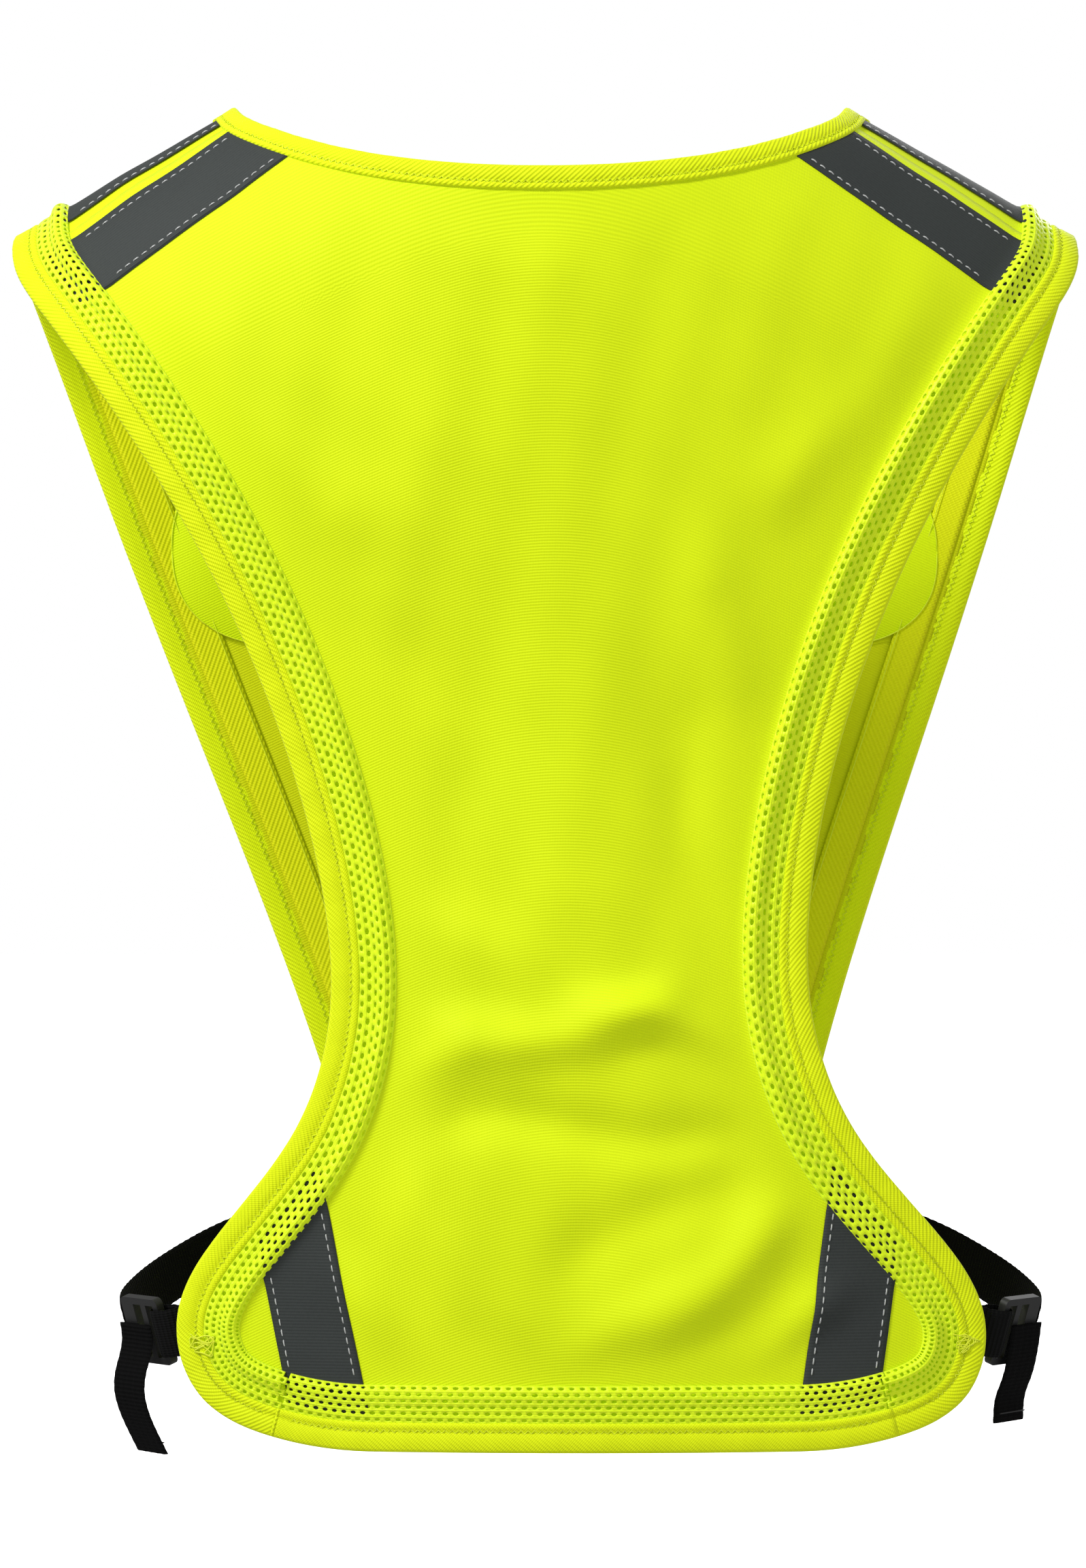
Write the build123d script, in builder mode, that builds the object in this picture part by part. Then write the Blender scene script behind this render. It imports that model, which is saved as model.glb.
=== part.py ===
from build123d import *
import os
from math import cos, pi, sin, sqrt

# A sleeveless high-visibility sports vest, worn open at both sides.
# The wearer faces +Y, +X is the wearer's right hand side seen from behind, +Z is up, and the
# origin is on the shoulder crown line, midway between the two neck points.

os.makedirs("parts", exist_ok=True)

# Overall form, in millimetres
SHOULDER_SLOPE = 0.62        # fall of the crown line per millimetre outwards
CROWN_REACH = 132.9          # half width at which the crown line passes height 0, nearly
NECK_ROUNDING = 60.0         # rounds the two shoulder slopes into each other
BACK_DEPTH = 76.0            # how far behind the crown the back hangs, at the middle
FRONT_DEPTH = 80.0           # how far ahead of the crown the front hangs, at the middle
SIDE_WRAP = 32.0             # how much nearer the crown plane the cloth hangs at the shoulder tip
CROWN_FALL = 100.0           # height that the cloth falls while it turns over the crown
TIP_FALL_LOSS = 15.0         # that height is this much less at the shoulder tip
TIP_HALF_WIDTH = 200.0
LUMBAR_SWAY = 9.0            # the back hollows in this far at the waist
SWAY_LENGTH = 400.0          # hanging length over which it hollows in and comes out again
LEAN = 0.033                 # the vest leans this far to +X per millimetre of height
HANG_STEP = 100.0            # hanging length in one unit of the surface's turn value
HEM_HEIGHT = -517.0
REACH = 200.0                # cutters reach this far in front of and behind the crown plane
EVERYWHERE = 3 * REACH       # and this far down and to the sides
ABOVE = 80.0                 # outlines run up to this height, over the shoulders
COLUMN_STEP = 58.0           # distance between the sections of a cloth layer
COLUMN_COUNT = 9

# Cloth layers
PANEL_THICK = 1.6
MESH_THICK = 2.8
BINDING_THICK = 2.4
BINDING_SINK = 0.4           # the binding wraps the edge, so it also stands inside the panel
TAPE_THICK = 0.6
LAYER_GAP = 0.1

# Edge strips and tapes
BINDING_WIDTH = 11.0
MESH_WIDTH = 13.5
NECK_BINDING_WIDTH = 9.0
STRIP_GAP = 0.3
EDGE_HALF_WIDTH = 207.0
SEAM_DEPTH = -25.5           # the shoulder seam, in the gap between the two shoulder tapes
BACK_HEM_JOIN = 120.0        # half width at which the back hem strips end
FRONT_HEM_JOIN = 72.0
HEM_ZONE_TOP = -484.0
BACK_SHOULDER_TAPE = [(100.0, 2.0), (192.0, -60.0), (192.0, -90.5), (100.0, -26.0)]
BACK_CORNER_TAPE = [(97.5, -408.0), (127.5, -408.0), (111.0, -505.0), (81.0, -505.0)]
FRONT_CORNER_TAPE = [(93.0, -330.0), (123.0, -330.0), (66.0, -505.0), (36.0, -505.0)]
FRONT_TAPE_REAR = -20.5
FRONT_TAPE_AHEAD = 9.0

# Inner pockets
POCKET_THICK = 6.0
POCKET_CENTRE = (109.0, -170.0)
POCKET_SIZE = (94.0, 84.0)
POCKET_CORNER = 26.0

# Zip
ZIP_GAP = 7.0                # half width of the open strip between the front panels
ZIP_TOP = -121.8
CHAIN_HALF_GAP = 0.8
CHAIN_WIDTH = 2.2
CHAIN_THICK = 2.2
ZIP_TAPE_WIDTH = 15.0
ZIP_TAPE_THICK = 0.5
ZIP_DEPTH = 79.0
TAPE_CLEAR = 0.05            # between a chain half and its tape
STOP_LENGTH = 3.5
STOP_PROUD = 0.3
BOX_HALF_WIDTH = 4.2
BOX_TOP = -501.0
BOX_BOTTOM = -509.0
PIN_TOP = BOX_TOP + 2.9
SLIDER_HEIGHT = ZIP_TOP - 8.4
SLIDER_WIDTH = 8.0
SLIDER_LENGTH = 11.0
PLATE_THICK = 1.2
PLATE_CLEAR = 0.3
PLATE_SLANT = 97.0           # corner angle of the plates, which widen upwards
POST = (1.0, 4.0)
BAIL = (3.7, 8.0)
BAIL_HALF_WIDTH = 0.9
BAIL_HOLE = (2.4, 4.6)
PULL_THICK = 1.2
PULL_WIDTH = 7.0
PULL_LENGTH = 27.0
PULL_SLOT = (3.4, 5.2)

# Side straps. Each lies in a tilted plane whose height is set by three values.
STRAP_WIDTH = 20.0
STRAP_THICK = 1.5
STRAP_LEVEL = -474.3
STRAP_RISE_IN = 0.25         # the strap rises this much per millimetre towards the middle
STRAP_RISE_AHEAD = 0.20      # and this much per millimetre forwards
PIVOT = (160.0, -46.0)
STRAP_PATH = [(86.0, 71.0), (137.0, 62.0), (166.0, 26.0), (178.0, -8.0), (175.7, -27.4)]
STRAP_BENDS = (24.0, 40.0, 16.0)
TAB_PATH = [(134.0, -55.9), (147.0, -52.9)]
LOCK_DIRECTION = (-0.64, 0.77)
LOCK_LENGTH = 23.6
LOCK_WIDTH = 27.0
LOCK_THICK = 3.2
BAR = 3.2
SLOT = (4.8, STRAP_WIDTH + 1.5)
LOOP_CLEAR = 2.7
LOOP_THICK = 1.2
EYE_LENGTH = 6.0
LOOP_BITE = 0.2
LOOP_EDGE = 0.5              # the loop is this much narrower than the strap at each edge
TAIL_THICK = 1.5
TAIL_ALONG = 14.5            # the tail leaves the lock this far from its pivot
TAIL_START = LOCK_THICK / 2 + STRIP_GAP + TAIL_THICK / 2
TAIL_PATHS = {
    "left": [(TAIL_START, 3.0), (TAIL_START + 1.0, -5.0), (13.0, -17.0), (14.0, -29.0), (10.0, -47.0)],
    "right": [(TAIL_START, 3.0), (TAIL_START + 1.5, -6.0), (5.0, -17.0), (3.5, -27.0), (6.0, -36.0)],
}
TAIL_BEND = 6.0

SIDES = (("left", -1), ("right", 1))


def shift(height):
    """Sideways place of the middle of the vest at a height."""
    return -LEAN * height


def at(x, height):
    """A point in the crown plane, with the lean."""
    return (x + shift(height), height)


def crown_height(x):
    return SHOULDER_SLOPE * (CROWN_REACH - sqrt(x * x + NECK_ROUNDING**2))


def skin(x, turn, lift=0.0):
    """A point of the cloth surface, lifted outwards.

    turn is 0 on the crown and 1 where the cloth starts to hang straight down, and grows by 1
    for every HANG_STEP below that. It is negative behind the crown and positive ahead of it.
    """
    side = 1 if turn > 0 else -1
    bend = min(abs(turn), 1.0) * pi / 2
    hang = max(abs(turn) - 1.0, 0.0) * HANG_STEP
    wrap = (x / TIP_HALF_WIDTH) ** 2
    depth = (FRONT_DEPTH if side > 0 else BACK_DEPTH) - SIDE_WRAP * wrap + lift
    fall = CROWN_FALL - TIP_FALL_LOSS * wrap + lift
    sway = 0.0
    if side < 0:
        sway = LUMBAR_SWAY * sin(pi * min(hang / SWAY_LENGTH, 1.0)) ** 2
    height = crown_height(x) + lift - fall * (1 - cos(bend)) - hang
    return (x + shift(height), side * (depth * sin(bend) - sway), height)


def cloth_layer(lift, thickness):
    """The whole cloth surface, front and back, as one sheet of a given thickness."""
    turns = [-5.9, -4.5, -3.1, -2.1, -1.4, -1.0, -0.75, -0.5, -0.25]
    turns += [0.0] + [-turn for turn in reversed(turns)]
    columns = [COLUMN_STEP * (step - COLUMN_COUNT // 2) for step in range(COLUMN_COUNT)]
    with BuildPart() as layer:
        for x in columns:
            section = Plane(origin=(x, 0, 0), x_dir=(0, 1, 0), z_dir=(1, 0, LEAN))
            inner = [section.to_local_coords(Vector(*skin(x, turn, lift))) for turn in turns]
            outer = [
                section.to_local_coords(Vector(*skin(x, turn, lift + thickness)))
                for turn in turns
            ]
            with BuildSketch(section):
                with BuildLine():
                    Spline(*inner)
                    Spline(*outer)
                    Line(inner[0], outer[0])
                    Line(inner[-1], outer[-1])
                make_face()
        loft()
    return layer.part


def mirrored(points):
    """Points for the other side of the middle, in the opposite order."""
    return [(-x, height) for x, height in reversed(points)]


def save(piece, name):
    piece.label = name
    export_step(piece, f"parts/{name}.step")


panel_layer = cloth_layer(0.0, PANEL_THICK)
mesh_layer = cloth_layer(0.0, MESH_THICK)
binding_layer = cloth_layer(-BINDING_SINK, BINDING_THICK)
tape_layer = cloth_layer(PANEL_THICK + LAYER_GAP, TAPE_THICK)


def inset_curve(points, amount, samples, tangents=None):
    """Points beside a smooth curve, on the right hand of its way when amount is positive."""
    curve = Edge.make_spline([Vector(*point) for point in points], tangents=tangents)
    beside = []
    for step in range(samples):
        place = curve.position_at(step / (samples - 1))
        way = curve.tangent_at(step / (samples - 1))
        beside.append((place.X + way.Y * amount, place.Y - way.X * amount))
    return beside


# Outline of the back: straight up past the shoulder tips, in to the waist, out to the hips
BACK_SIDE = [
    (207.0, -56.0),
    (194.0, -83.0),
    (167.0, -121.0),
    (130.0, -186.0),
    (105.0, -251.0),
    (92.0, -311.0),
    (91.5, -352.0),
    (105.0, -394.0),
    (137.0, -436.0),
    (154.0, -470.0),
    (146.0, -497.0),
    (117.0, -512.5),
    (80.0, HEM_HEIGHT),
]
SIDE_WAYS = [Vector(0, -1), Vector(-1, 0)]
SIDE_SAMPLES = 27
NECK_SAMPLES = 21


def back_sketch(inset):
    """The back's outline, or an outline that lies inside it by a constant width."""
    side = inset_curve(BACK_SIDE, inset, SIDE_SAMPLES, SIDE_WAYS)
    edge = EDGE_HALF_WIDTH - inset
    with BuildSketch(Plane.XZ) as outline:
        with BuildLine():
            right_side = Spline(*[at(*point) for point in side])
            left_side = Spline(*[at(*point) for point in mirrored(side)])
            Line(right_side @ 1, left_side @ 0)
            Polyline(right_side @ 0, at(edge, ABOVE), at(-edge, ABOVE), left_side @ 1)
        make_face()
    return outline.sketch


# Outline of the front: a straight edge from each shoulder tip down to the ribs, then to the hem
FRONT_RIB = (91.0, -411.0)
FRONT_CORNER = (104.0, HEM_HEIGHT + 2.0)
with BuildSketch(Plane.XZ) as front_outline:
    with BuildLine():
        front_points = [
            (EDGE_HALF_WIDTH, ABOVE),
            (EDGE_HALF_WIDTH, -64.0),
            FRONT_RIB,
            FRONT_CORNER,
        ]
        front_points += mirrored(front_points)
        corner_radii = [0.0, 60.0, 70.0, 28.0, 28.0, 70.0, 60.0, 0.0]
        FilletPolyline(*[at(*point) for point in front_points], radius=corner_radii, close=True)
    make_face()

# Neck opening, behind and in front of the crown
BACK_NECK = [(121.0, 4.0), (116.0, -4.5), (106.0, -11.0), (84.0, -19.5), (45.0, -27.5), (0.0, -30.0)]
FRONT_NECK = [(121.0, 4.0), (113.0, -34.0), (88.0, -74.0), (48.0, -101.0), (0.0, -112.0)]


def neck_sketch(points, margin):
    """The neck opening's outline, closed off above the shoulders, grown by a margin."""
    edge = inset_curve(points + mirrored(points[:-1]), -margin, NECK_SAMPLES)
    reach = edge[0][0]
    with BuildSketch(Plane.XZ) as neck:
        with BuildLine():
            curve = Spline(*[at(*point) for point in edge])
            Polyline(curve @ 1, at(-reach, ABOVE), at(reach, ABOVE), curve @ 0)
        make_face()
    return neck.sketch


def front_sketch(inset):
    """The front's outline, or an outline inside it by a constant width."""
    return offset(front_outline.sketch, amount=-inset) if inset else front_outline.sketch


def both_halves(behind, ahead):
    """A cutter with one outline behind the crown plane and another in front of it."""
    with BuildPart() as cutter:
        extrude(behind, amount=REACH)
        extrude(ahead, amount=-REACH)
    return cutter.part


def slab(x_low, x_high, z_low, z_high, y_low=-REACH, y_high=REACH):
    """A leaning block between two widths, two heights and two depths."""
    with BuildPart() as block:
        with BuildSketch(Plane.XZ.offset(-y_high)):
            with BuildLine():
                Polyline(
                    at(x_low, z_low),
                    at(x_high, z_low),
                    at(x_high, z_high),
                    at(x_low, z_high),
                    close=True,
                )
            make_face()
        extrude(amount=y_high - y_low)
    return block.part


mesh_start = BINDING_WIDTH + STRIP_GAP
panel_start = mesh_start + MESH_WIDTH + STRIP_GAP
mesh_end = mesh_start + MESH_WIDTH
binding_cutter = both_halves(
    back_sketch(0.0) - back_sketch(BINDING_WIDTH), front_sketch(0.0) - front_sketch(BINDING_WIDTH)
)
mesh_cutter = both_halves(
    back_sketch(mesh_start) - back_sketch(mesh_end),
    front_sketch(mesh_start) - front_sketch(mesh_end),
)
back_neck_hole = neck_sketch(BACK_NECK, 0.0)
front_neck_hole = neck_sketch(FRONT_NECK, 0.0)
back_neck_edge = neck_sketch(BACK_NECK, NECK_BINDING_WIDTH + STRIP_GAP)
front_neck_edge = neck_sketch(FRONT_NECK, NECK_BINDING_WIDTH + STRIP_GAP)

left_half = slab(-EVERYWHERE, 0.0, -EVERYWHERE, REACH)
right_half = slab(0.0, EVERYWHERE, -EVERYWHERE, REACH)
side_half = {"left": left_half, "right": right_half}
zip_strip = slab(-ZIP_GAP, ZIP_GAP, -EVERYWHERE, REACH, 0.0, REACH)

# Back panel, from the shoulder seam to the hem mesh
back_field = back_sketch(panel_start) - back_neck_edge
front_field = front_sketch(panel_start) - front_neck_edge
with BuildPart() as back_panel:
    add(panel_layer)
    extrude(back_field, amount=REACH, mode=Mode.INTERSECT)
    add(
        slab(-EVERYWHERE, EVERYWHERE, -EVERYWHERE, REACH, SEAM_DEPTH, REACH),
        mode=Mode.SUBTRACT,
    )
save(back_panel.part, "back_panel")

# Front panels, from that seam over the shoulders and down to the front hem, split by the zip
with BuildPart() as front_body:
    add(panel_layer)
    add(both_halves(back_field, front_field), mode=Mode.INTERSECT)
    add(
        slab(-EVERYWHERE, EVERYWHERE, -EVERYWHERE, REACH, -REACH, SEAM_DEPTH + STRIP_GAP),
        mode=Mode.SUBTRACT,
    )
    add(zip_strip, mode=Mode.SUBTRACT)
for side in side_half:
    with BuildPart() as front_panel:
        add(front_body.part)
        add(side_half[side], mode=Mode.INTERSECT)
    save(front_panel.part, f"front_panel_{side}")

# Edge binding and mesh: one strip on each side, from hip to hip over the shoulder, and the hems
half_gap = STRIP_GAP / 2
back_join = BACK_HEM_JOIN + half_gap
front_join = FRONT_HEM_JOIN + half_gap
back_hem_zone = slab(-back_join, back_join, -EVERYWHERE, HEM_ZONE_TOP, -REACH, 0.0)
front_hem_zone = slab(-front_join, front_join, -EVERYWHERE, HEM_ZONE_TOP, 0.0, REACH)
back_hem_reach = BACK_HEM_JOIN - half_gap
front_hem_reach = FRONT_HEM_JOIN - half_gap
back_hem = slab(-back_hem_reach, back_hem_reach, -EVERYWHERE, HEM_ZONE_TOP, -REACH, 0.0)
front_hem = slab(-front_hem_reach, front_hem_reach, -EVERYWHERE, HEM_ZONE_TOP, 0.0, REACH)

strips = (
    ("side_binding", "hem_binding", binding_layer, binding_cutter),
    ("mesh_band", "hem_mesh", mesh_layer, mesh_cutter),
)
for side_name, hem_name, layer, cutter in strips:
    with BuildPart() as whole_strip:
        add(layer)
        add(cutter, mode=Mode.INTERSECT)
    with BuildPart() as back_hem_strip:
        add(whole_strip.part)
        add(back_hem, mode=Mode.INTERSECT)
    save(back_hem_strip.part, f"{hem_name}_back")
    for side in side_half:
        with BuildPart() as side_strip:
            add(whole_strip.part)
            add(side_half[side], mode=Mode.INTERSECT)
            add(back_hem_zone, mode=Mode.SUBTRACT)
            add(front_hem_zone, mode=Mode.SUBTRACT)
        save(side_strip.part, f"{side_name}_{side}")
        with BuildPart() as front_hem_strip:
            add(whole_strip.part)
            add(front_hem, mode=Mode.INTERSECT)
            add(side_half[side], mode=Mode.INTERSECT)
            add(zip_strip, mode=Mode.SUBTRACT)
        save(front_hem_strip.part, f"{hem_name}_front_{side}")

# Neck binding, one bias strip from the zip round the back of the neck to the zip
with BuildPart() as neck_binding:
    add(binding_layer)
    add(
        both_halves(
            neck_sketch(BACK_NECK, NECK_BINDING_WIDTH) - back_neck_hole,
            neck_sketch(FRONT_NECK, NECK_BINDING_WIDTH) - front_neck_hole,
        ),
        mode=Mode.INTERSECT,
    )
    add(zip_strip, mode=Mode.SUBTRACT)
save(neck_binding.part, "neck_binding")


def quad(points, sign):
    """A four-sided outline on one side of the vest."""
    with BuildSketch(Plane.XZ) as outline:
        with BuildLine():
            Polyline(*[at(sign * x, height) for x, height in points], close=True)
        make_face()
    return outline.sketch


# Reflective tapes
for side, sign in SIDES:
    with BuildPart() as back_shoulder_tape:
        add(tape_layer)
        extrude(
            quad(BACK_SHOULDER_TAPE, sign) & back_field, amount=REACH, mode=Mode.INTERSECT
        )
    save(back_shoulder_tape.part, f"shoulder_tape_back_{side}")

    with BuildPart() as front_shoulder_tape:
        add(tape_layer)
        add(both_halves(back_field, front_field), mode=Mode.INTERSECT)
        add(
            slab(-EVERYWHERE, EVERYWHERE, -REACH, REACH, FRONT_TAPE_REAR, FRONT_TAPE_AHEAD),
            mode=Mode.INTERSECT,
        )
        add(side_half[side], mode=Mode.INTERSECT)
    save(front_shoulder_tape.part, f"shoulder_tape_front_{side}")

    with BuildPart() as back_corner_tape:
        add(tape_layer)
        extrude(quad(BACK_CORNER_TAPE, sign) & back_field, amount=REACH, mode=Mode.INTERSECT)
    save(back_corner_tape.part, f"corner_tape_back_{side}")

    with BuildPart() as front_corner_tape:
        add(tape_layer)
        extrude(
            quad(FRONT_CORNER_TAPE, sign) & front_field, amount=-REACH, mode=Mode.INTERSECT
        )
    save(front_corner_tape.part, f"corner_tape_front_{side}")

# Flat inner pockets on the wearer's side of the front panels, at chest height
pocket_layer = cloth_layer(-POCKET_THICK - STRIP_GAP - BINDING_SINK, POCKET_THICK)
for side, sign in SIDES:
    with BuildPart() as inner_pocket:
        add(pocket_layer)
        with BuildSketch(Plane.XZ):
            with Locations(at(sign * POCKET_CENTRE[0], POCKET_CENTRE[1])):
                RectangleRounded(*POCKET_SIZE, POCKET_CORNER)
        extrude(amount=-REACH, mode=Mode.INTERSECT)
    save(inner_pocket.part, f"inner_pocket_{side}")

# Front zip: tapes, chain halves, stops, pin and box, all leaning with the vest
chain_outer = CHAIN_HALF_GAP + CHAIN_WIDTH
chain_low = ZIP_DEPTH - CHAIN_THICK / 2
chain_high = ZIP_DEPTH + CHAIN_THICK / 2
tape_low = ZIP_DEPTH - ZIP_TAPE_THICK / 2
tape_high = ZIP_DEPTH + ZIP_TAPE_THICK / 2


def side_slab(sign, x_near, x_far, z_low, z_high, y_low, y_high):
    """A leaning block on one side of the middle."""
    x_low, x_high = sorted((sign * x_near, sign * x_far))
    return slab(x_low, x_high, z_low, z_high, y_low, y_high)


box_clear = 0.2              # round the pin, in the box, and above the box
chain_ends = {"left": PIN_TOP + 0.1, "right": BOX_TOP + box_clear}
tape_reach = (chain_outer + TAPE_CLEAR, chain_outer + ZIP_TAPE_WIDTH)
chain_reach = (CHAIN_HALF_GAP, chain_outer)
chain_top = ZIP_TOP - 1.7
stop_base = ZIP_TOP - 1.5
for side, sign in SIDES:
    with BuildPart() as zip_tape:
        add(side_slab(sign, *tape_reach, BOX_TOP + box_clear, ZIP_TOP, tape_low, tape_high))
    save(zip_tape.part, f"zip_tape_{side}")

    with BuildPart() as zip_chain:
        add(side_slab(sign, *chain_reach, chain_ends[side], chain_top, chain_low, chain_high))
    save(zip_chain.part, f"zip_chain_{side}")

    with BuildPart() as zip_top_stop:
        stop_depths = (chain_low - STOP_PROUD, chain_high + STOP_PROUD)
        add(side_slab(sign, *chain_reach, stop_base, stop_base + STOP_LENGTH, *stop_depths))
    save(zip_top_stop.part, f"zip_top_stop_{side}")

pin_floor = BOX_BOTTOM + 0.3
with BuildPart() as zip_pin:
    add(slab(-chain_outer, -CHAIN_HALF_GAP, pin_floor + box_clear, PIN_TOP, chain_low, chain_high))
save(zip_pin.part, "zip_pin")

box_wall = 1.0
box_depths = (chain_low - box_wall, chain_high + box_wall)
bore_sides = (-chain_outer - box_clear, -CHAIN_HALF_GAP + box_clear)
bore_depths = (chain_low - box_clear, chain_high + box_clear)
with BuildPart() as zip_box:
    add(slab(-BOX_HALF_WIDTH, BOX_HALF_WIDTH, BOX_BOTTOM, BOX_TOP, *box_depths))
    add(slab(*bore_sides, pin_floor, REACH, *bore_depths), mode=Mode.SUBTRACT)
save(zip_box.part, "zip_box")

# Slider: two plates joined by a post in the gap between the chain halves, and a bail on top
slider_plane = Plane(
    origin=(shift(SLIDER_HEIGHT), ZIP_DEPTH, SLIDER_HEIGHT),
    x_dir=(-1, 0, -LEAN),
    z_dir=(0, 1, 0),
)
plate_face = CHAIN_THICK / 2 + PLATE_CLEAR
bail_base = plate_face + PLATE_THICK
post_bite = 0.01             # the post and the bail run this far into the plates
bail_bite = 0.1
with BuildPart() as zip_slider:
    for level in (plate_face, -bail_base):
        with BuildSketch(slider_plane.offset(level)):
            Trapezoid(SLIDER_WIDTH, SLIDER_LENGTH, PLATE_SLANT, PLATE_SLANT, rotation=180.0)
            fillet(vertices(), 1.6)
        extrude(amount=PLATE_THICK)
    with BuildSketch(slider_plane.offset(-plate_face - post_bite)):
        Rectangle(*POST)
    extrude(amount=2 * (plate_face + post_bite))
    with BuildSketch(Plane(slider_plane.origin, x_dir=(0, 1, 0), z_dir=(1, 0, LEAN))):
        with Locations((bail_base + BAIL[0] / 2 - bail_bite, 0.0)):
            RectangleRounded(*BAIL, 1.4)
        with Locations((bail_base + BAIL_HOLE[0] / 2, 0.0)):
            Rectangle(*BAIL_HOLE, mode=Mode.SUBTRACT)
    extrude(amount=BAIL_HALF_WIDTH, both=True)
save(zip_slider.part, "zip_slider")

# Pull tab, hanging from a cross bar through the bail
pull_axis_lift = bail_base + BAIL_HOLE[0] / 2
with BuildPart() as zip_pull:
    with BuildSketch(slider_plane.offset(pull_axis_lift - PULL_THICK / 2)):
        with Locations((0.0, PULL_THICK / 2 - PULL_LENGTH / 2)):
            RectangleRounded(PULL_WIDTH, PULL_LENGTH, 2.0)
        with Locations((0.0, -PULL_THICK / 2 - PULL_SLOT[1] / 2)):
            Rectangle(*PULL_SLOT, mode=Mode.SUBTRACT)
    extrude(amount=PULL_THICK)
save(zip_pull.part, "zip_pull")



def strap_point(sign, x, y):
    """A point of the tilted strap plane above a plan position."""
    height = STRAP_LEVEL - STRAP_RISE_IN * (x - PIVOT[0]) + STRAP_RISE_AHEAD * (y - PIVOT[1])
    return Vector(sign * x + shift(STRAP_LEVEL), y, height)


# Side adjusters: elastic strap, webbing loop, ladder lock and the strap's loose end
first_slot = (BAR + SLOT[0]) / 2
second_slot = first_slot + SLOT[0] + BAR
for side, sign in SIDES:
    pivot = strap_point(sign, *PIVOT)
    strap_plane = Plane(
        origin=pivot,
        x_dir=(1, 0, -sign * STRAP_RISE_IN),
        z_dir=(sign * STRAP_RISE_IN, -STRAP_RISE_AHEAD, 1),
    )
    width_way = strap_plane.z_dir
    lock_end = strap_point(sign, PIVOT[0] - LOCK_DIRECTION[0], PIVOT[1] + LOCK_DIRECTION[1])
    lock_way = (lock_end - pivot).normalized()
    lock_plane = Plane(origin=pivot, x_dir=lock_way, z_dir=width_way.cross(lock_way))

    strap_route = [strap_plane.to_local_coords(strap_point(sign, *point)) for point in STRAP_PATH]
    with BuildPart() as side_strap:
        with BuildSketch(strap_plane):
            with BuildLine():
                FilletPolyline(*strap_route, radius=STRAP_BENDS)
            trace(line_width=STRAP_THICK)
        extrude(amount=STRAP_WIDTH / 2, both=True)
    save(side_strap.part, f"side_strap_{side}")

    # Webbing loop: a sewn eye round the lock's bar, and a tab onto the back's corner
    tab_points = [strap_plane.to_local_coords(strap_point(sign, *point)) for point in TAB_PATH]
    eye_angle = Vector(1, 0, 0).get_signed_angle(tab_points[1], Vector(0, 0, 1))
    tab_way = tab_points[1].normalized()
    eye_centre = tab_way * EYE_LENGTH / 2
    tab_start = tab_way * (EYE_LENGTH + LOOP_CLEAR + LOOP_BITE)
    with BuildPart() as lock_loop:
        with BuildSketch(strap_plane):
            with Locations(eye_centre):
                SlotCenterToCenter(EYE_LENGTH, 2 * (LOOP_CLEAR + LOOP_THICK), rotation=eye_angle)
            with BuildLine():
                Line(tab_start, tab_points[1])
                Line(tab_points[1], tab_points[0])
            trace(line_width=2 * LOOP_THICK)
            with Locations(eye_centre):
                SlotCenterToCenter(EYE_LENGTH, 2 * LOOP_CLEAR, rotation=eye_angle, mode=Mode.SUBTRACT)
        extrude(amount=STRAP_WIDTH / 2 - LOOP_EDGE, both=True)
    save(lock_loop.part, f"lock_loop_{side}")

    with BuildPart() as ladder_lock:
        with BuildSketch(lock_plane.offset(-LOCK_THICK / 2)):
            with Locations((LOCK_LENGTH / 2 - BAR / 2, 0.0)):
                RectangleRounded(LOCK_LENGTH, LOCK_WIDTH, 2.5)
            with Locations((first_slot, 0.0), (second_slot, 0.0)):
                Rectangle(*SLOT, mode=Mode.SUBTRACT)
        extrude(amount=LOCK_THICK)
    save(ladder_lock.part, f"ladder_lock_{side}")

    # Loose end of the elastic, turned out over the lock and hanging
    outwards = width_way.cross(lock_way) * -sign
    tail_plane = Plane(
        origin=pivot + lock_way * TAIL_ALONG, x_dir=outwards, z_dir=outwards.cross(Vector(0, 0, 1))
    )
    with BuildPart() as strap_tail:
        with BuildSketch(tail_plane):
            with BuildLine():
                FilletPolyline(*TAIL_PATHS[side], radius=TAIL_BEND)
            trace(line_width=TAIL_THICK)
        extrude(amount=STRAP_WIDTH / 2, both=True)
    save(strap_tail.part, f"strap_tail_{side}")
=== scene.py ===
import math
import random

import bmesh
import bpy
import numpy as np
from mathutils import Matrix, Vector


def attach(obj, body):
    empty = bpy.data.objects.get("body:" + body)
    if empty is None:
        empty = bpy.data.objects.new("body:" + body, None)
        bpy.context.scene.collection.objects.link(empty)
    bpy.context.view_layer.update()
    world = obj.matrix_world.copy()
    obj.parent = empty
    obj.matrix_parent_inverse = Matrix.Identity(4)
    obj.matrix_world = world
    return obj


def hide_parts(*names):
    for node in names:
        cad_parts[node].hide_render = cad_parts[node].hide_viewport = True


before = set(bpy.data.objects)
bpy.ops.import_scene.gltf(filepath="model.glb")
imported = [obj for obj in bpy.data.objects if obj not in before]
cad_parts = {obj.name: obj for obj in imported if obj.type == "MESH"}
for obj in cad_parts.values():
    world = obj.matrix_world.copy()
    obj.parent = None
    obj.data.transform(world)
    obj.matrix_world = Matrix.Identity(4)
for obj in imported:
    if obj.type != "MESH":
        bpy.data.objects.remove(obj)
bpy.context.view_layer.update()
random.seed(7)
MM = 0.001
SPLINE_POINTS = 2400
ROUTE_POINTS = 8000

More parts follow.
